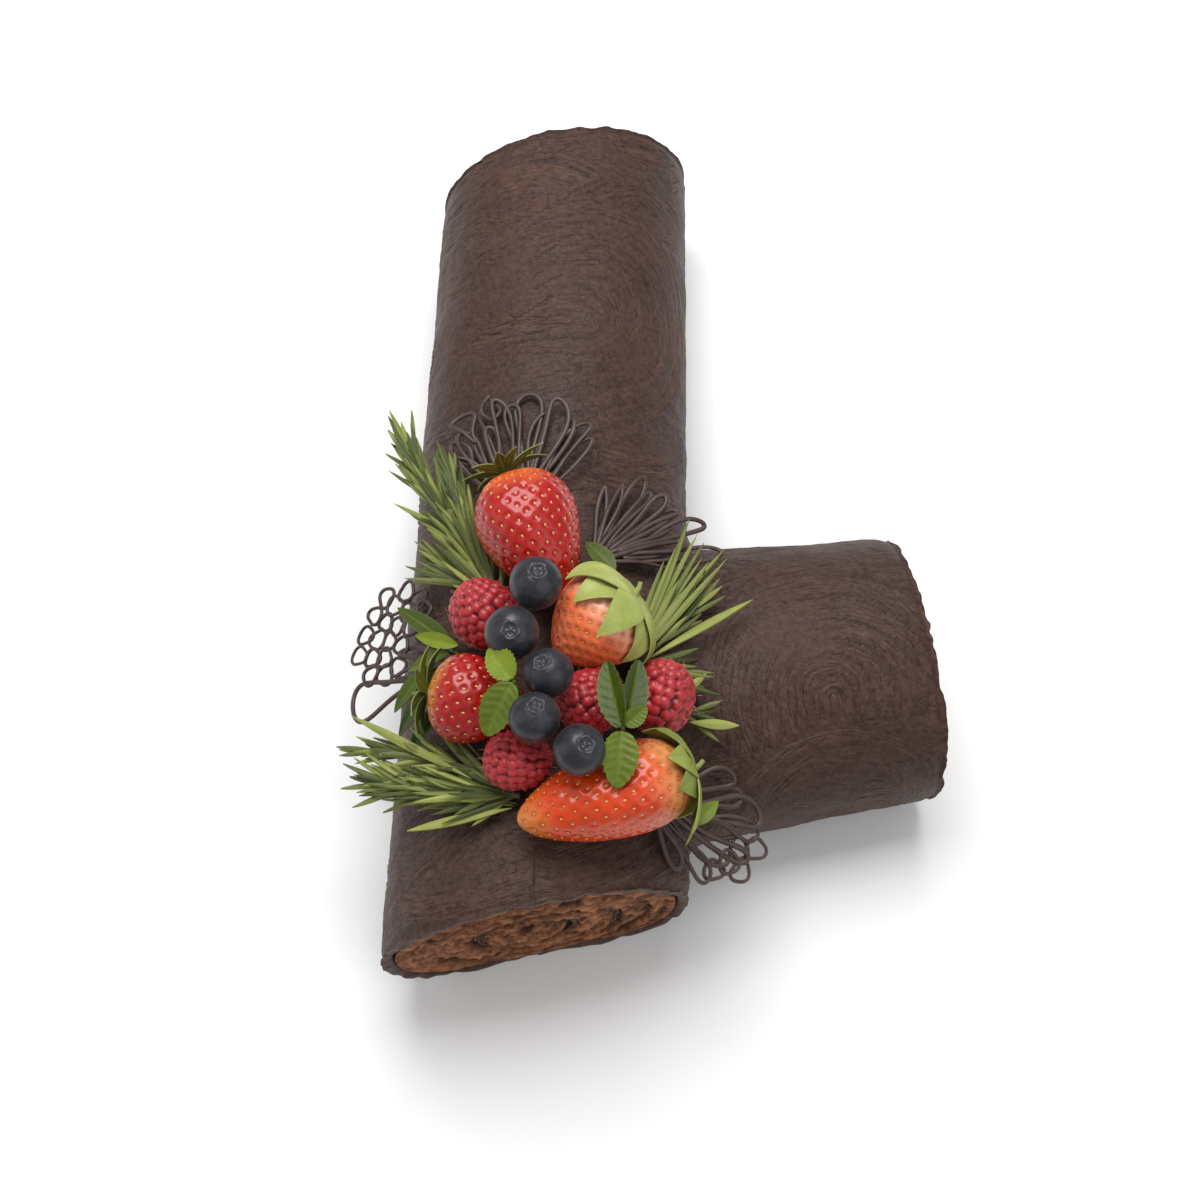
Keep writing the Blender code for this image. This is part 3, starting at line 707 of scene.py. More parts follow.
def roll_line(width, height, lift):
    """The filling's middle line in a log's section."""
    heart = np.array([0.0, lift + WIDEST * height])
    reach = (width + height) / 4
    outermost = 1.0 - (ROLL_PITCH - FILLING / 2) / reach
    turns = (outermost - ROLL_HEART) * reach / ROLL_PITCH
    share = np.linspace(0, 1, 400)
    angle = math.radians(200) + share * turns * TAU
    x, z = section_point(width, height, angle)
    rim = np.stack([x, z + lift], axis=1) - heart
    return heart + rim * (outermost + (ROLL_HEART - outermost) * share)[:, None]


def sponge_core(log):
    """A sponge's section width and height and how high it sits."""
    width = (log.width_start + log.width_end) / 2 - 2 * FROSTING - 0.6
    height = log.height - FROSTING - FROSTING_UNDER - 0.6
    return width, height, FROSTING_UNDER + 0.4


def sponge_mesh(name, log, start_share, end_share, material, cut_start, seed):
    """A log's rolled sponge: torn, flaky cut faces joined by a plain side."""
    width, height, lift = sponge_core(log)
    rings = 72
    columns = 184
    angle = (np.arange(columns) / columns - 0.25) * TAU
    x, z = section_point(width, height, angle)
    heart = WIDEST * height
    reach = np.linspace(0.008, 1.0, rings)[:, None]
    side = reach * x
    up = heart + reach * (z - heart) + lift
    flat = np.stack([side.ravel(), up.ravel()], axis=1)
    near = np.full(len(flat), 99.0)
    for spot in roll_line(width, height, lift):
        near = np.minimum(near, np.hypot(*(flat - spot).T))
    groove = np.clip(1.2 - near / (FILLING / 2 + ROLL_GAP), 0, 1)
    radius = (reach * np.hypot(x, z - heart)).ravel()
    parts = []
    crumbs = []
    for end, share in ((0, start_share), (1, end_share)):
        cut = cut_start or end
        layers = np.stack([flat[:, 0] / 8.0, radius / 1.15, np.full(len(flat), 40.0 * end)], axis=1)
        flakes = soft_noise(layers, 1.0, seed + 3 * end)
        tears = np.clip(soft_noise(layers * [0.8, 0.55, 1.0], 1.0, seed + 5 + end) - 0.35, 0, 1)
        place = np.stack([flat[:, 0], flat[:, 1], np.full(len(flat), 40.0 * end)], axis=1)
        crumb = many_noise(place, 1.8, seed + 7 + end)
        pits = np.clip(-soft_noise(place, 1.3, seed + 9 + end) - 0.35, 0, 1)
        relief = 0.75 * flakes + 0.55 * crumb - 3.2 * tears - 1.6 * pits
        rim_calm = np.clip((1 - reach) * 12, 0, 1) * np.ones_like(side)
        relief = (relief * rim_calm.ravel() - 1.5 * np.minimum(groove * 1.6, 1)) * cut
        slide = ((1 if end else -1) * relief).reshape(side.shape)
        parts.append(place_on_log(log, side, np.full(side.shape, share), up, slide))
        crumbs.append(relief.reshape(side.shape))
    points, faces = closed_grid(np.concatenate([parts[0], parts[1][::-1]]))
    piece = new_piece(name, points, faces, material, sharp=70)
    # The relief is stored to paint shade into the colour: the deeper a spot is sunk, the darker it is painted.
    crumb = np.concatenate([crumbs[0], crumbs[1][::-1]]).ravel()
    write_value(piece, "crumb", np.append(crumb, [0, 0]))
    return piece


def filling_mesh(name, log, start_share, end_share, material, seed):
    """The cream between the sponge's turns: an uneven strip with torn ends."""
    width, height, lift = sponge_core(log)
    line = roll_line(width, height, lift)
    ahead = np.gradient(line, axis=0)
    ahead /= np.linalg.norm(ahead, axis=1, keepdims=True)
    normal = np.stack([ahead[:, 1], -ahead[:, 0]], axis=1)
    walked = np.cumsum(np.hypot(*np.diff(line, axis=0, prepend=line[:1]).T))
    place = np.stack([walked, np.zeros_like(walked), np.zeros_like(walked)], axis=1)
    half = 0.52 + 0.22 * many_noise(place, 3.0, seed)
    columns = []
    for end, share, order in ((0, start_share, (-1.0, -0.4, 0.4, 1.0)), (1, end_share, (1.0, 0.4, -0.4, -1.0))):
        for offset in order:
            spot = line + normal * (offset * half)[:, None]
            tear = 1.3 + 0.7 * many_noise(place + [0, 3 * offset, 9 * end], 2.4, seed + 2)
            slide = tear * (-1 if end else 1)
            columns.append(place_on_log(log, spot[:, 0], np.full(len(line), share), spot[:, 1], slide))
    points, faces = closed_grid(np.stack(columns, axis=1))
    return new_piece(name, points, faces, material, sharp=50)


def sponge_finish(looks):
    """Brown cake: pale torn crumb, with painted shade darkening its pits, cracks and the groove along the filling."""
    finish = Finish("sponge")
    mottle = finish.group(shared("mottle"), First=tuple(looks.sponge_colour), Second=srgb(92, 54, 36),
                          Scale=240.0, Contrast=3.4)
    # Sunk relief mixes in a dark brown: painted shade in the pits, tears and the groove along the filling.
    depth = finish.node("ShaderNodeMapRange")
    finish.link(finish.value("crumb"), depth.inputs["Value"])
    depth.inputs["From Min"].default_value = -1.6
    depth.inputs["From Max"].default_value = 0.5
    finish.link(finish.mix(depth.outputs[0], srgb(48, 26, 18), mottle["Colour"]), finish.shader.inputs["Base Color"])
    grain = finish.group(shared("grain"), Lumps=700.0, Pits=900.0, Pit_depth=1.0)
    finish.bump(grain["Height"], 0.8, 0.7)
    finish.set(Roughness=0.9, Specular_IOR_Level=0.25)
    return finish.material


def filling_finish():
    """Chocolate cream in the roll."""
    finish = Finish("filling")
    mottle = finish.group(shared("mottle"), First=srgb(66, 44, 35), Second=srgb(92, 64, 50),
                          Scale=180.0, Contrast=2.0)
    finish.link(mottle["Colour"], finish.shader.inputs["Base Color"])
    grain = finish.group(shared("grain"), Lumps=500.0, Pits=1200.0, Pit_depth=0.3)
    finish.bump(grain["Height"], 0.5, 0.4)
    finish.set(Roughness=0.6)
    return finish.material


# ---------------------------------------------------------------- strawberries

def berry_radius(berry, share):
    """A strawberry's half width along it, from crown 0 to tip 1."""
    share = np.clip(share, 1e-5, 1 - 1e-5)
    return berry.radius * np.sin(math.pi * share ** 0.66) ** berry.blunt


def berry_frame(berry):
    """A strawberry's turn, crown and length."""
    crown = np.array(berry.crown)
    axis = crown - np.array(berry.tip)
    return turn_to(axis), crown, float(np.linalg.norm(axis))


def berry_seed_spots(berry, length):
    """Where the seeds sit: even turns of a spiral down the berry."""
    share = np.linspace(0.02, 0.985, 400)
    radius = berry_radius(berry, share)
    down = np.hypot(np.gradient(radius), np.gradient(length * share))
    area = np.cumsum(radius * down)
    room_for_each = 10.5
    count = round(area[-1] * TAU / room_for_each)
    spots = []
    for index in range(count):
        at = np.interp((index + 0.5) / count * area[-1], area, share)
        spots.append((at, index * 2.39996))
    return np.array(spots)


def berry_surface(berry, length, share, angle):
    """Points of a strawberry before its dimples, in its own frame."""
    radius = berry_radius(berry, share)
    ribs = 1 + 0.025 * np.sin(3 * angle + berry.seed) + 0.015 * np.sin(5 * angle + 2 * berry.seed)
    return np.stack([radius * ribs * np.cos(angle), radius * ribs * np.sin(angle), -length * share], axis=-1)


def seed_shape():
    """A small pointed oval, 2 long, with its length along +X and its top along +Z."""
    rows = np.linspace(0.12, math.pi - 0.12, 6)[:, None]
    turn = TAU * np.arange(8)[None, :] / 8
    point = np.stack([
        np.cos(rows) * np.ones_like(turn), np.sin(rows) * np.cos(turn) * 0.62, np.sin(rows) * np.sin(turn) * 0.45,
    ], axis=-1)
    return closed_grid(point)


def make_strawberry(berry, skin, seed_material):
    """One strawberry: dimpled flesh and its seeds."""
    turn, crown, length = berry_frame(berry)
    rows = (1 - np.cos(np.linspace(0.03, math.pi - 0.02, 110))) / 2
    angle = TAU * np.arange(140) / 140
    share, around = np.meshgrid(rows, angle, indexing="ij")
    points = berry_surface(berry, length, share, around)
    shape = points.shape
    points = points.reshape(-1, 3)
    centre = np.array([0, 0, -length * 0.42])
    outward = points - centre
    outward /= np.linalg.norm(outward, axis=1, keepdims=True)
    spots = berry_seed_spots(berry, length)
    seeds = berry_surface(berry, length, spots[:, 0], spots[:, 1])
    seed_out = seeds - centre
    seed_out /= np.linalg.norm(seed_out, axis=1, keepdims=True)
    dent = np.zeros(len(points))
    for seed in seeds:
        apart = np.linalg.norm(points - seed, axis=1)
        dent = np.maximum(dent, np.exp(-(apart / 0.85) ** 2))
    lumps = 0.35 * soft_noise(points, 11.0, berry.seed)
    points = points + outward * (lumps + 0.12 - 0.55 * dent)[:, None]
    grid, faces = closed_grid(points.reshape(shape))
    body = new_piece(berry.name + "_flesh", grid @ turn.T + crown, faces, skin)
    write_value(body, "along", np.concatenate([share.ravel(), [0, 1]]))
    # The dent mask also paints shade into the skin's colour round each seed.
    write_value(body, "dent", np.concatenate([dent, [0, 0]]))
    settle(body, "strawberry", berry.name)

    shape_points, shape_faces = seed_shape()
    parts = []
    for seed, out in zip(seeds, seed_out):
        down = np.array([0, 0, -1.0]) - out * -out[2]
        down /= np.linalg.norm(down) + 1e-9
        across = np.cross(out, down)
        lump = 0.35 * soft_noise(seed[None], 11.0, berry.seed)[0]
        local = shape_points * [0.52, 0.52, 0.55]
        placed = seed + out * (lump - 0.36) + local[:, :1] * down + local[:, 1:2] * across + local[:, 2:] * out
        parts.append((placed, shape_faces))
    points, faces = gather(parts)
    pips = new_piece(berry.name + "_seeds", points @ turn.T + crown, faces, seed_material)
    settle(pips, "strawberry")


def strawberry_finish(berry):
    """Glossy wet skin: paler at the crown and the tip, with painted shade in the pits round the seeds."""
    finish = Finish(berry.name)
    crown, body, tip = (srgb(*colour) for colour in berry.skin)
    ramp = finish.node("ShaderNodeValToRGB")
    stops = ramp.color_ramp.elements
    stops[0].color = (*crown, 1)
    stops[1].color = (*tip, 1)
    for position, colour in ((berry.blush * 0.5, crown), (berry.blush * 1.4, body), (0.80, body)):
        stops.new(position).color = (*colour, 1)
    patch = finish.node("ShaderNodeTexCoord")
    drift = finish.node("ShaderNodeTexNoise")
    drift.inputs["Scale"].default_value = 90.0
    finish.link(patch.outputs["Object"], drift.inputs["Vector"])
    moved = finish.math("MULTIPLY", finish.math("SUBTRACT", drift.outputs[0], 0.5), 0.35)
    finish.link(finish.math("ADD", finish.value("along"), moved), ramp.inputs[0])
    mottle = finish.group(shared("mottle"), First=(1.0, 1.0, 1.0), Second=(0.72, 0.62, 0.60),
                          Scale=110.0, Contrast=1.6)
    tinted = finish.tint(ramp.outputs[0], mottle["Colour"])
    # Seed dents are darkened towards a deep red: painted shade in the pits.
    dark = finish.math("MULTIPLY", finish.value("dent"), 0.5)
    deep = tuple(channel * 0.4 for channel in body)
    finish.link(finish.mix(dark, tinted, deep), finish.shader.inputs["Base Color"])
    grain = finish.group(shared("grain"), Lumps=500.0, Pits=2200.0, Pit_depth=0.2)
    finish.bump(grain["Height"], 0.12, 0.3)
    finish.set(Roughness=0.34, Specular_IOR_Level=0.3, Coat_Weight=0.38, Coat_Roughness=0.09,
               Subsurface_Weight=0.10, Subsurface_Scale=2.0 * MM)
    return finish.material


def seed_finish():
    """Straw-coloured seeds."""
    finish = Finish("strawberry_seed")
    mottle = finish.group(shared("mottle"), First=srgb(226, 176, 84), Second=srgb(206, 128, 52),
                          Scale=160.0, Contrast=2.0)
    finish.link(mottle["Colour"], finish.shader.inputs["Base Color"])
    finish.set(Roughness=0.35, Coat_Weight=0.3)
    return finish.material


def blade(length, width, rows, fold, curl, thickness, tooth=0, belly=0.45, columns=9, point=0.85):
    """A leaf blade along +X, its face up +Z: a folded, curled, closed sheet with an optional toothed edge."""
    share = np.linspace(0.0, 1.0, rows)
    outline = np.sin(math.pi * share ** (math.log(0.5) / math.log(belly))) ** point
    outline = np.maximum(outline, 0.03)
    if tooth:
        saw = np.mod(share * tooth, 1.0)
        outline = outline * (1 + 0.16 * (saw - 0.5) * (share > 0.12))
    across = np.linspace(-1, 1, columns)
    x = share[:, None] * length * np.ones(columns)
    y = outline[:, None] * across * width / 2
    bend = curl * length * share ** 2
    z = fold * np.abs(y) - bend[:, None]
    veins = np.cos((share[:, None] - np.abs(across) * 0.16) * TAU * 7) * np.abs(across) * (1 - across ** 2)
    z = z + veins * 0.045 * width * (tooth > 0)
    top = np.stack([x, y, z + thickness / 2], axis=-1)
    under = np.stack([x, y, z - thickness / 2], axis=-1)[:, ::-1]
    points, faces = closed_grid(np.concatenate([top, under], axis=1))
    edge = np.concatenate([np.abs(across), np.abs(across[::-1])]) * np.ones((rows, 1))
    return points, faces, np.append(edge.ravel(), [0, 0])


def aim(points, base, tip, up):
    """Turn a blade so that it runs from base towards tip with its face towards up."""
    ahead = np.array(tip, float) - np.array(base, float)
    ahead /= np.linalg.norm(ahead)
    side = np.cross(np.array(up, float), ahead)
    side /= np.linalg.norm(side)
    face = np.cross(ahead, side)
    return np.array(base) + points @ np.stack([ahead, side, face])


def drape_point(berry, length, run, clear):
    """A point at a run length down a strawberry's side, held clear of it: (out, down)."""
    share = (1 - np.cos(np.linspace(0, math.pi, 200))) / 2
    radius = berry_radius(berry, share)
    down = length * share
    walked = np.concatenate([[0], np.cumsum(np.hypot(np.diff(radius), np.diff(down)))])
    out = np.interp(run, walked, radius)
    low = np.interp(run, walked, down)
    ahead = np.interp(run + 0.4, walked, radius) - np.interp(run - 0.2, walked, radius)
    fall = np.interp(run + 0.4, walked, down) - np.interp(run - 0.2, walked, down)
    size = np.hypot(ahead, fall) + 1e-9
    return out + fall / size * clear, -low + ahead / size * clear


def make_calyx(berry, material):
    """The leafy sepals over a strawberry's crown, each with its own lift and curl."""
    turn, crown, length = berry_frame(berry)
    rng = random.Random(berry.seed)
    parts = []
    edges = []
    shades = []
    count = berry.sepals + 1
    for index in range(count):
        angle = TAU * index / count + rng.uniform(-0.15, 0.15)
        reach = berry.reach * rng.uniform(0.8, 1.12)
        width = berry.width * rng.uniform(0.85, 1.15)
        points, faces, edge = blade(reach, width, 18, rng.uniform(0.05, 0.25), 0.0, 0.35, belly=0.36)
        lift = berry.lift + rng.uniform(0.0, 0.12)
        curl = rng.uniform(0.0, 0.03)
        run = points[:, 0]
        clear = 0.9 + lift * run + curl * run ** 2 * (berry.lift > 0) + points[:, 2] + 0.45 * (index % 2)
        out, low = drape_point(berry, length, run + 0.8, clear)
        ahead = np.array([math.cos(angle), math.sin(angle), 0])
        side = np.array([-math.sin(angle), math.cos(angle), 0])
        placed = out[:, None] * ahead + points[:, 1:2] * side
        placed[:, 2] = low - 0.5 * points[:, 1] ** 2 / berry.radius
        parts.append((placed, faces))
        edges.append(edge)
        shades.append(np.full(len(points), rng.uniform(0.1, 0.9)))
    path = [(0, 0, 0.2), (0.2, 0.1, 1.6), (0.7, 0.3, 3.2), (1.6, 0.6, 4.6)]
    stem_points, stem_faces = tube(path, (1.2, 0.9, 0.7, 0.6), sides=10, up=(0, 1, 0))
    parts.append((stem_points, stem_faces))
    edges.append(np.zeros(len(stem_points)))
    shades.append(np.full(len(stem_points), 0.3))
    points, faces = gather(parts)
    piece = new_piece(berry.name + "_leaves", points @ turn.T + crown, faces, material)
    write_value(piece, "edge", np.concatenate(edges))
    write_value(piece, "shade", np.concatenate(shades))
    settle(piece, "calyx", berry.name + "_calyx")


def leaf_finish(name, young, old, edge_colour, rough):
    """A leaf: two greens in patches, lighter along its edges and down its middle."""
    finish = Finish(name)
    own = finish.mix(finish.value("shade"), srgb(*old), srgb(*young))
    mottle = finish.group(shared("mottle"), First=(1.0, 1.0, 1.0), Second=(0.66, 0.70, 0.60),
                          Scale=150.0, Contrast=2.2)
    tinted = finish.tint(own, mottle["Colour"])
    edge = finish.math("POWER", finish.value("edge"), 8.0)
    rimmed = finish.mix(finish.math("MULTIPLY", edge, 0.35), tinted, srgb(*edge_colour))
    rib = finish.math("MULTIPLY", finish.math("LESS_THAN", finish.value("edge"), 0.14), 0.28)
    finish.link(finish.mix(rib, rimmed, srgb(*edge_colour)), finish.shader.inputs["Base Color"])
    grain = finish.group(shared("grain"), Lumps=400.0, Pits=1100.0, Pit_depth=0.5)
    finish.bump(grain["Height"], 0.35, 0.35)
    finish.set(Roughness=rough, Specular_IOR_Level=0.35, Subsurface_Weight=0.06, Subsurface_Scale=1.0 * MM)
    return finish.material


# ---------------------------------------------------------------- raspberries and blueberries

def make_raspberry(berry, material, hair, seed):
    """A raspberry: plump drupelets packed in offset rings, with fine hairs."""
    rows = np.linspace(0.04, math.pi - 0.04, 104)
    angle = TAU * np.arange(156) / 156
    down, around = np.meshgrid(rows, angle, indexing="ij")
    unit = np.stack([np.sin(down) * np.cos(around), np.sin(down) * np.sin(around), np.cos(down)], axis=-1)
    stretch = np.array([berry.radius, berry.radius, berry.length / 2])
    rng = random.Random(seed)
    centres = []
    rings = 11
    for ring in range(rings):
        tilt = math.pi * (ring + 0.5) / rings
        count = max(1, round(20 * math.sin(tilt)))
        for index in range(count):
            turn = TAU * (index + 0.5 * (ring % 2)) / count + rng.uniform(-0.07, 0.07)
            bob = tilt + rng.uniform(-0.03, 0.03)
            centres.append((math.sin(bob) * math.cos(turn), math.sin(bob) * math.sin(turn), math.cos(bob)))
    centres = np.array(centres)
    flat = unit.reshape(-1, 3)
    apart = np.arccos(np.clip((flat @ centres.T).max(axis=1), -1, 1))
    swell = np.sqrt(np.clip(1 - (apart / 0.20) ** 2, 0.0, 1))
    taper = 1 - 0.10 * flat[:, 2]
    core = stretch - 1.2
    lumps = 0.5 * soft_noise(flat * 9, 7.0, seed)
    points = flat * core * np.stack([taper, taper, np.ones_like(taper)], axis=1)
    points = points + flat * (1.35 * swell + lumps)[:, None]
    grid, faces = closed_grid(points.reshape(unit.shape))
    frame_turn = turn_to(berry.axis)
    piece = new_piece(berry.name + "_fruit", grid @ frame_turn.T + np.array(berry.centre), faces, material)
    # The swell mask also paints shade into the crevices between drupelets.
    write_value(piece, "swell", np.append(swell, [swell[0], swell[-1]]))
    settle(piece, "raspberry", berry.name)
    parts = []
    for centre in centres[::2]:
        root = centre * (core + 1.3)
        bend = np.array([rng.uniform(-1, 1), rng.uniform(-1, 1), rng.uniform(-1, 1)])
        path = [root, root + centre * 0.6 + bend * 0.15, root + centre * 1.0 + bend * 0.6]
        parts.append(tube(path, (0.06, 0.05, 0.03), sides=3, up=(0.3, 0.2, 0.9)))
    points, faces = gather(parts)
    hairs = new_piece(berry.name + "_hairs", points @ frame_turn.T + np.array(berry.centre), faces, hair)
    settle(hairs, "raspberry")


def raspberry_finish():
    """Soft red beads with painted shade where they meet, with a pale bloom on top."""
    finish = Finish("raspberry")
    mottle = finish.group(shared("mottle"), First=srgb(194, 38, 44), Second=srgb(146, 20, 30),
                          Scale=120.0, Contrast=1.8)
    # Where drupelets meet, the colour goes to a dark red: painted shade in the crevices.
    swell = finish.math("POWER", finish.value("swell"), 1.3)
    finish.link(finish.mix(swell, srgb(96, 10, 18), mottle["Colour"]), finish.shader.inputs["Base Color"])
    grain = finish.group(shared("grain"), Lumps=900.0, Pits=2600.0, Pit_depth=0.5)
    finish.bump(grain["Height"], 0.25, 0.2)
    finish.set(Roughness=0.42, Specular_IOR_Level=0.45, Coat_Weight=0.12, Coat_Roughness=0.25,
               Sheen_Weight=0.15, Sheen_Roughness=0.4, Subsurface_Weight=0.12, Subsurface_Scale=1.5 * MM)
    return finish.material


def hair_finish():
    """Straw-coloured hairs."""
    finish = Finish("raspberry_hair")
    mottle = finish.group(shared("mottle"), First=srgb(206, 150, 110), Second=srgb(170, 90, 70),
                          Scale=300.0, Contrast=1.5)
    finish.link(mottle["Colour"], finish.shader.inputs["Base Color"])
    finish.set(Roughness=0.5)
    return finish.material


def make_blueberry(berry, material, seed):
    """A blueberry with a ragged five-pointed crown round its sunk top."""
    rows = np.concatenate([np.linspace(0.01, 0.56, 34), np.linspace(0.59, math.pi - 0.02, 34)])
    angle = TAU * np.arange(90) / 90
    down, around = np.meshgrid(rows, angle, indexing="ij")
    lobe = 0.5 + 0.5 * np.cos(5 * around + seed)
    rim_at = 0.29 + 0.04 * lobe
    rim = np.exp(-((down - rim_at) / 0.05) ** 2) * (0.25 + 0.55 * lobe)
    pit = 1 / (1 + np.exp((down - 0.25) / 0.03))
    star = 0.10 * np.cos(5 * around + seed) * np.exp(-((down - 0.16) / 0.08) ** 2)
    dome = 0.25 * np.exp(-(down / 0.07) ** 2)
    unit = np.stack([np.sin(down) * np.cos(around), np.sin(down) * np.sin(around), np.cos(down) * 0.96], axis=-1)
    flat = unit.reshape(-1, 3)
    lumps = 0.14 * many_noise(flat * 7, 5.0, seed) + 0.03 * soft_noise(flat * 7, 0.8, seed + 3)
    radius = berry.radius - 0.1 + (0.6 * rim - 0.7 * pit + star + dome).ravel() + lumps
    grid, faces = closed_grid((flat * radius[:, None]).reshape(unit.shape))
    turn = turn_to(berry.axis)
    piece = new_piece(berry.name + "_fruit", grid @ turn.T + np.array(berry.centre), faces, material)
    write_value(piece, "pit", np.append(pit.ravel(), [1, 0]))
    write_value(piece, "rim", np.append(rim.ravel(), [0, 0]))
    settle(piece, "blueberry", berry.name)


def blueberry_finish():
    """Ink-blue skin under a dusty bloom that is rubbed off in places."""
    finish = Finish("blueberry")
    bloom = finish.group(shared("mottle"), First=srgb(12, 12, 17), Second=srgb(34, 36, 46),
                         Scale=120.0, Contrast=2.6)
    speck = finish.group(shared("mottle"), First=srgb(10, 11, 15), Second=srgb(54, 56, 64),
                         Scale=700.0, Contrast=2.6)
    skin = finish.mix(0.35, bloom["Colour"], speck["Colour"])
    rimmed = finish.mix(finish.math("MULTIPLY", finish.value("rim"), 0.6), skin, srgb(92, 94, 104))
    pitted = finish.mix(finish.math("MULTIPLY", finish.value("pit"), 0.5), rimmed, srgb(48, 48, 54))
    finish.link(pitted, finish.shader.inputs["Base Color"])
    rough = finish.math("ADD", finish.math("MULTIPLY", bloom["Mask"], 0.22), 0.26)
    finish.link(rough, finish.shader.inputs["Roughness"])
    grain = finish.group(shared("grain"), Lumps=600.0, Pits=2000.0, Pit_depth=0.4)
    finish.bump(grain["Height"], 0.18, 0.2)
    finish.set(Specular_IOR_Level=0.45, Sheen_Weight=0.05)
    return finish.material


# ---------------------------------------------------------------- herbs and lace

def make_mint(material):
    """Mint and loose strawberry leaves, laid on and beside the fruit."""
    parts = []
    edges = []
    shades = []
    for leaf in MINT:
        reach = float(np.linalg.norm(np.array(leaf.tip) - np.array(leaf.base)))
        points, faces, edge = blade(reach, leaf.width, 46, leaf.fold, leaf.curl, 0.35, tooth=leaf.tooth, columns=13,
                                    point=0.58 if leaf.tooth else 0.8)
        parts.append((aim(points, leaf.base, leaf.tip, leaf.up), faces))
        edges.append(edge)
        shades.append(np.full(len(points), leaf.shade))
    stems = (
        ((-5.6, -76.0, 94.6), (-4.5, -77.5, 92.0), (-4.0, -79.0, 88.0)),
        ((22.8, -86.5, 91.5), (22.6, -88.5, 90.0), (20.5, -87.0, 84.0)),
        ((-24.0, -58.5, 73.0), (-22.0, -61.0, 72.0), (-19.0, -63.0, 69.0)),
    )
    for path in stems:
        points, faces = tube(path, 0.6, sides=8, up=(1, 0, 0))
        parts.append((points, faces))
        edges.append(np.full(len(points), 0.3))
        shades.append(np.full(len(points), 0.4))
    points, faces = gather(parts)
    piece = new_piece("mint_leaves", points, faces, material)
    write_value(piece, "edge", np.concatenate(edges))
    write_value(piece, "shade", np.concatenate(shades))
    settle(piece, "calyx")


def curve_points(path, count):
    """Points on a smooth curve through three guides."""
    first, middle, last = (np.array(point, float) for point in path)
    share = np.linspace(0, 1, count)[:, None]
    control = 2 * middle - (first + last) / 2
    return (1 - share) ** 2 * first + 2 * share * (1 - share) * control + share ** 2 * last


def needle(base, tip, up, width, curl):
    """One rosemary needle with its edges rolled under."""
    reach = float(np.linalg.norm(np.array(tip) - np.array(base)))
    points, faces, edge = blade(reach, width, 10, -0.35, curl, 0.5, belly=0.55, columns=7)
    return aim(points, base, tip, up), faces, edge


def make_sprig(sprig, needle_material, stem_material):
    """Rosemary: a thin woody stem with long needles springing from it in turns."""
    rng = random.Random(sprig.seed)
    line = curve_points(sprig.path, 40)
    ways = np.gradient(line, axis=0)
    ways /= np.linalg.norm(ways, axis=1, keepdims=True)
    parts = []
    edges = []
    shades = []
    for index in range(sprig.needles):
        share = (index + 0.5) / sprig.needles
        at = line[int(share * 39)]
        ahead = ways[int(share * 39)]
        side = np.cross(ahead, sprig.up)
        side /= np.linalg.norm(side)
        top = np.cross(side, ahead)
        around = index * 2.4 + rng.uniform(-0.4, 0.4)
        out = side * math.cos(around) + top * abs(math.sin(around)) * 0.6
        lean = sprig.spread * rng.uniform(0.45, 1.35) * (1.15 - 0.6 * share)
        reach = sprig.reach * rng.uniform(0.6, 1.15) * (1.0 - 0.2 * share)
        tip = at + (ahead * math.cos(lean) + out * math.sin(lean)) * reach
        face = np.array(sprig.up) + out * rng.uniform(-0.6, 0.9) + side * rng.uniform(-0.6, 0.6)
        points, faces, edge = needle(at, tip, face, rng.uniform(1.25, 1.75), rng.uniform(-0.10, 0.16))
        parts.append((points, faces))
        edges.append(edge)
        shades.append(np.full(len(points), rng.uniform(0.0, 1.0) ** 1.5))
    points, faces = gather(parts)
    piece = new_piece(sprig.name + "_needles", points, faces, needle_material)
    write_value(piece, "edge", np.concatenate(edges))
    write_value(piece, "shade", np.concatenate(shades))
    settle(piece, "calyx")
    points, faces = tube(line, np.linspace(0.9, 0.4, 40), sides=8)
    stem = new_piece(sprig.name + "_stem", points, faces, stem_material)
    settle(stem, "calyx")


def make_loose_needles(material):
    """Needles that stand out on their own, in fans and singly."""
    parts = []
    edges = []
    shades = []
    for fan in FANS:
        rng = random.Random(fan.seed)
        loose = 1.6 if fan.count > 1 else 0.0
        for index in range(fan.count):
            share = index / max(1, fan.count - 1)
            base = np.array(fan.base, float) + [rng.uniform(-loose, loose), rng.uniform(-loose, loose), 0]
            tip = np.array(fan.first, float) * (1 - share) + np.array(fan.last, float) * share
            tip = base + (tip - base) * (rng.uniform(0.65, 1.05) if loose else 1.0)
            tip = tip + [rng.uniform(-loose, loose), rng.uniform(-loose, loose), rng.uniform(-loose, loose)]
            face = (rng.uniform(-0.5, 0.5), rng.uniform(-0.5, 0.5), 1.0)
            width = fan.width * rng.uniform(0.85, 1.15)
            points, faces, edge = needle(base, tip, face, width, rng.uniform(-0.06, 0.10))
            parts.append((points, faces))
            edges.append(edge)
            shade = min(1.0, max(0.0, fan.shade + rng.uniform(-0.3, 0.3) * (loose > 0)))
            shades.append(np.full(len(points), shade))
    points, faces = gather(parts)
    piece = new_piece("rosemary_loose", points, faces, material)
    write_value(piece, "edge", np.concatenate(edges))
    write_value(piece, "shade", np.concatenate(shades))
    settle(piece, "calyx")


def stem_finish():
    """Woody brown-green stems."""
    finish = Finish("herb_stem")
    mottle = finish.group(shared("mottle"), First=srgb(96, 92, 58), Second=srgb(84, 66, 48),
                          Scale=200.0, Contrast=2.0)
    finish.link(mottle["Colour"], finish.shader.inputs["Base Color"])
    finish.set(Roughness=0.7)
    return finish.material


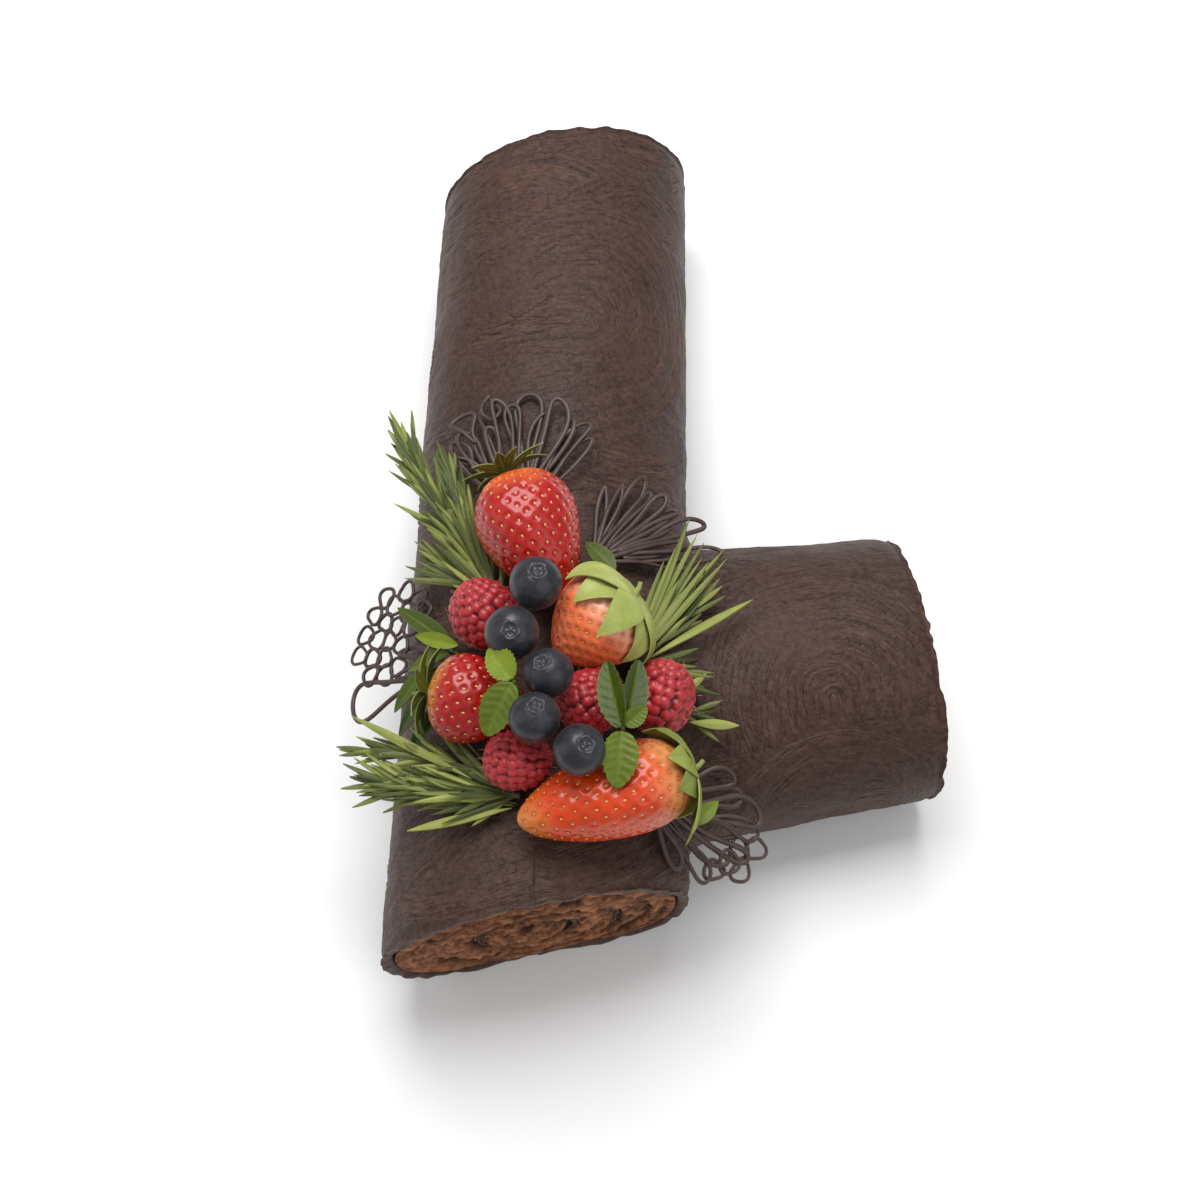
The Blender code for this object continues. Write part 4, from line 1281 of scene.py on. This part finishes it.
def lace_frame(lace):
    """A lace fan's axes as rows: outwards, across, up."""
    up = np.array(lace.normal, float)
    up /= np.linalg.norm(up)
    heading = np.array([math.cos(lace.heading), math.sin(lace.heading), 0.0])
    out = heading - up * (heading @ up)
    out /= np.linalg.norm(out)
    return np.stack([out, np.cross(up, out), up])


def lace_reach(lace, turn):
    """How far a lace fan reaches at turn, from -1 at its right side to +1 at its left side."""
    side = lace.reach_left if turn > 0 else lace.reach_right
    return lace.reach + (side - lace.reach) * min(1.0, turn * turn)


def lace_loop(lace, inner, outer, turn, half_turn, rng, count=44):
    """One piped loop: a teardrop between two shares of the fan's reach."""
    angle = TAU * np.arange(count) / count
    share = (inner + outer) / 2 + (outer - inner) / 2 * np.cos(angle)
    reach = lace_reach(lace, turn) * share
    sway = 0.03 * np.sin(2 * angle + rng.uniform(0, 6)) + 0.02 * np.sin(3 * angle + rng.uniform(0, 6))
    swing = (turn + half_turn * np.sin(angle) * (0.70 + 0.35 * np.cos(angle)) + sway) * lace.spread / 2
    lift = 0.5 * np.sin(angle * 2 + rng.uniform(0, 6)) + rng.uniform(-0.2, 0.9)
    return np.stack([reach * np.cos(swing), reach * np.sin(swing), lift * np.ones(count)], axis=1)


def lace_cell(lace, share, turn, radius, rng):
    """One small, slightly squared loop of the lattice."""
    angle = TAU * np.arange(24) / 24
    reach = lace_reach(lace, turn) * share
    swing = turn * lace.spread / 2
    wobble = radius * (1 + 0.10 * np.sin(3 * angle + rng.uniform(0, 6)) + 0.06 * np.sin(2 * angle + rng.uniform(0, 6)))
    x = reach * math.cos(swing) + wobble * np.cos(angle)
    y = reach * math.sin(swing) + wobble * np.sin(angle)
    return np.stack([x, y, np.full(24, rng.uniform(-0.2, 0.5))], axis=1)


def make_lace(lace, material, seed):
    """A lace fan piped as overlapping loops, with a lattice of small cells where it has one."""
    rng = random.Random(seed)
    parts = []
    for turn, inner, outer, half_turn in lace.loops:
        loop = lace_loop(lace, inner, outer, turn, half_turn, rng)
        parts.append(tube(loop, rng.uniform(0.58, 0.86), sides=8, closed=True, flatten=0.8))
    for share, first, last, count in lace.cells:
        for index in range(count):
            turn = first + (last - first) * (index + 0.5 * (round(share * 100) % 2)) / max(1, count - 1)
            cell = lace_cell(lace, share, turn, rng.uniform(2.6, 3.1), rng)
            parts.append(tube(cell, rng.uniform(0.48, 0.6), sides=8, closed=True, flatten=0.9))
    points, faces = gather(parts)
    placed = points @ lace_frame(lace) + np.array(lace.root, float)
    piece = new_piece(lace.name + "_strands", placed, faces, material)
    settle(piece, "lace", lace.name)


def lace_finish():
    """Set dark chocolate with a soft shine."""
    finish = Finish("lace")
    mottle = finish.group(shared("mottle"), First=srgb(50, 36, 32), Second=srgb(78, 62, 57),
                          Scale=140.0, Contrast=2.0)
    finish.link(mottle["Colour"], finish.shader.inputs["Base Color"])
    grain = finish.group(shared("grain"), Lumps=700.0, Pits=1600.0, Pit_depth=0.3)
    finish.bump(grain["Height"], 0.3, 0.25)
    finish.set(Roughness=0.42, Specular_IOR_Level=0.4)
    return finish.material


# ---------------------------------------------------------------- stage

def add_area_light(name, location, target, size, power, colour):
    """A soft square lamp that faces a point."""
    data = bpy.data.lights.new(name, "AREA")
    data.shape = "SQUARE"
    data.size = size * MM
    data.energy = power
    data.color = colour
    lamp = bpy.data.objects.new(name, data)
    bpy.context.scene.collection.objects.link(lamp)
    lamp.location = Vector(location) * MM
    lamp.rotation_euler = (Vector(target) - Vector(location)).to_track_quat("-Z", "Y").to_euler()


def floor_finish(looks):
    """A plain pale sheet."""
    finish = Finish("floor")
    shade = tuple(looks.floor_colour)
    duller = tuple(channel * 0.985 for channel in shade)
    mottle = finish.group(shared("mottle"), First=shade, Second=duller, Scale=6.0, Contrast=1.0)
    finish.link(mottle["Colour"], finish.shader.inputs["Base Color"])
    finish.set(Roughness=0.9, Specular_IOR_Level=0.1)
    return finish.material


# ---------------------------------------------------------------- add-on

def colour_property(label, words, colour):
    """A colour that a user may change."""
    return bpy.props.FloatVectorProperty(
        name=label, description=words, default=colour, size=3, min=0, max=1, subtype="COLOR")


class CakeLooks(bpy.types.PropertyGroup):
    """Colours and sizes of the cake's finish."""

    frosting_dark: colour_property("Frosting, dark", "Deeper tone of the chocolate coat", srgb(36, 20, 14))
    frosting_light: colour_property("Frosting, light", "Lighter tone of the chocolate coat", srgb(66, 42, 33))
    sponge_colour: colour_property("Sponge", "Crumb of the rolled cake", srgb(176, 118, 80))
    floor_colour: colour_property("Floor", "The sheet that the cake stands on", (0.88, 0.88, 0.88))
    lamp_power: bpy.props.FloatProperty(
        name="Lamp power", description="Power of the main lamp in watts", default=9.0, min=0, max=100)
    coat_pitch: bpy.props.FloatProperty(
        name="Coat pitch", description="Spacing of the trunk coat's grid", default=0.74 * MM, min=0.4 * MM, max=4 * MM,
        unit="LENGTH", precision=5)
    lens: bpy.props.FloatProperty(
        name="Lens", description="The camera's focal length in millimetres", default=48.6, min=20, max=200)


class CAKE_OT_frosting(bpy.types.Operator):
    """Spread and comb the chocolate coat of both logs"""

    bl_idname = "cake.frosting"
    bl_label = "Frosting"

    def execute(self, context):
        looks = context.scene.cake_looks
        material = frosting_finish(looks)
        pitch = looks.coat_pitch / MM * 1
        strokes = scattered_strokes((-85, 85), (-132, 132), math.radians(90), (24, 9), 3)
        strokes += swirl(6, 52, 202, (44, 37, 30), (30, 12), 1)
        strokes += swirl(9, 54, 180, (31, 25, 19, 13, 7, 0), (14, 34), 2)
        trunk = coat_mesh("trunk_coat", TRUNK, pitch, strokes, BRANCH, 50, material, 0.0, (True, True))
        settle(trunk, "frosting", "frosting")
        strokes = scattered_strokes((-85, 85), (18, 116), 0.0, (9, 24), 5)
        strokes += swirl(17, 80, 4, (37, 30, 22.5, 16, 10, 5, 0), (7, 4), 4)
        strokes += swirl(62, 78, -6, (36, 29, 21), (10, 6), 6)
        branch = coat_mesh("branch_coat", BRANCH, pitch * 0.95, strokes, TRUNK, 60, material, 0.10, (False, True))
        settle(branch, "frosting")
        return {"FINISHED"}


class CAKE_OT_roll(bpy.types.Operator):
    """Roll the sponge and its filling"""

    bl_idname = "cake.roll"
    bl_label = "Sponge roll"

    def execute(self, context):
        sponge = sponge_finish(context.scene.cake_looks)
        filling = filling_finish()
        inset = SPONGE_RECESS / (TRUNK.end - TRUNK.start)
        length = BRANCH.end - BRANCH.start
        start = (TRUNK.width_start / 2 + 2.0 - BRANCH.start) / length
        rolls = (
            ("trunk", TRUNK, inset, 1 - inset, True, 70),
            ("branch", BRANCH, start, 1 - SPONGE_RECESS / length, False, 80),
        )
        for name, log, first, last, cut_start, seed in rolls:
            crumb = sponge_mesh(name + "_crumb", log, first, last, sponge, cut_start, seed)
            settle(crumb, "sponge", name + "_sponge")
            cream = filling_mesh(name + "_cream", log, first, last, filling, seed + 1)
            settle(cream, "filling", name + "_filling")
        return {"FINISHED"}


class CAKE_OT_strawberries(bpy.types.Operator):
    """Lay the strawberries with their seeds and leafy crowns"""

    bl_idname = "cake.strawberries"
    bl_label = "Strawberries"

    def execute(self, context):
        pips = seed_finish()
        for berry in STRAWBERRIES:
            make_strawberry(berry, strawberry_finish(berry), pips)
            green = leaf_finish(berry.name + "_leaf", *berry.green, (150, 152, 96), 0.5)
            make_calyx(berry, green)
        return {"FINISHED"}


class CAKE_OT_small_berries(bpy.types.Operator):
    """Lay the raspberries and the blueberries"""

    bl_idname = "cake.small_berries"
    bl_label = "Raspberries and blueberries"

    def execute(self, context):
        red = raspberry_finish()
        hair = hair_finish()
        for index, berry in enumerate(RASPBERRIES):
            make_raspberry(berry, red, hair, 40 + index)
        blue = blueberry_finish()
        for index, berry in enumerate(BLUEBERRIES):
            make_blueberry(berry, blue, index + 1)
        return {"FINISHED"}


class CAKE_OT_herbs(bpy.types.Operator):
    """Tuck in the rosemary and the mint"""

    bl_idname = "cake.herbs"
    bl_label = "Herbs"

    def execute(self, context):
        needles = leaf_finish("rosemary", (150, 156, 78), (46, 60, 18), (130, 138, 70), 0.55)
        wood = stem_finish()
        for sprig in SPRIGS:
            make_sprig(sprig, needles, wood)
        make_loose_needles(needles)
        make_mint(leaf_finish("mint", (116, 132, 14), (30, 48, 5), (98, 118, 22), 0.5))
        return {"FINISHED"}


class CAKE_OT_lace(bpy.types.Operator):
    """Pipe the chocolate lace"""

    bl_idname = "cake.lace"
    bl_label = "Chocolate lace"

    def execute(self, context):
        chocolate = lace_finish()
        for index, lace in enumerate(LACES):
            make_lace(lace, chocolate, 21 + index)
        return {"FINISHED"}


class CAKE_OT_stage(bpy.types.Operator):
    """Set the floor, the lamps and the camera"""

    bl_idname = "cake.stage"
    bl_label = "Stage"

    def execute(self, context):
        looks = context.scene.cake_looks
        corners = [(side * FLOOR_HALF, end * FLOOR_HALF, FLOOR_LEVEL) for side, end in FLOOR_CORNERS]
        floor = new_piece("floor", corners, [[0, 1, 2, 3]], floor_finish(looks))
        middle = (20, -20, 40)
        power = looks.lamp_power
        for name, place, size, share in LAMPS:
            add_area_light(name, place, middle, size, power * share, (1, 1, 1))
        world = bpy.data.worlds.new("room")
        world.use_nodes = True
        sky = world.node_tree.nodes["Background"]
        sky.inputs["Color"].default_value = (1, 1, 1, 1)
        sky.inputs["Strength"].default_value = ROOM_LIGHT
        context.scene.world = world
        context.scene.view_settings.view_transform = "Standard"
        data = bpy.data.cameras.new("camera")
        data.lens = looks.lens
        data.sensor_width = 36
        data.clip_start = 0.01
        camera = bpy.data.objects.new("camera", data)
        context.scene.collection.objects.link(camera)
        camera.location = Vector(CAMERA_PLACE) * MM
        camera.rotation_euler = CAMERA_TURN
        context.scene.camera = camera
        return {"FINISHED"}


OPERATORS = (
    CAKE_OT_stage, CAKE_OT_frosting, CAKE_OT_roll, CAKE_OT_strawberries,
    CAKE_OT_small_berries, CAKE_OT_herbs, CAKE_OT_lace,
)


class CAKE_PT_panel(bpy.types.Panel):
    """The cake's operators and colours in the sidebar"""

    bl_idname = "CAKE_PT_panel"
    bl_label = "Yule Log Cake"
    bl_space_type = "VIEW_3D"
    bl_region_type = "UI"
    bl_category = "Cake"

    def draw(self, context):
        looks = context.scene.cake_looks
        for name in CakeLooks.__annotations__:
            self.layout.prop(looks, name)
        for operator in OPERATORS:
            self.layout.operator(operator.bl_idname)


CLASSES = (CakeLooks, *OPERATORS, CAKE_PT_panel)


def register():
    """Add the classes and the cake's properties."""
    for entry in CLASSES:
        bpy.utils.register_class(entry)
    bpy.types.Scene.cake_looks = bpy.props.PointerProperty(type=CakeLooks)


def unregister():
    """Take them away again."""
    del bpy.types.Scene.cake_looks
    for entry in reversed(CLASSES):
        bpy.utils.unregister_class(entry)


def main():
    """Make every piece."""
    register()
    for operator in OPERATORS:
        getattr(bpy.ops.cake, operator.bl_idname.split(".")[1])()


if __name__ == "__main__":
    main()
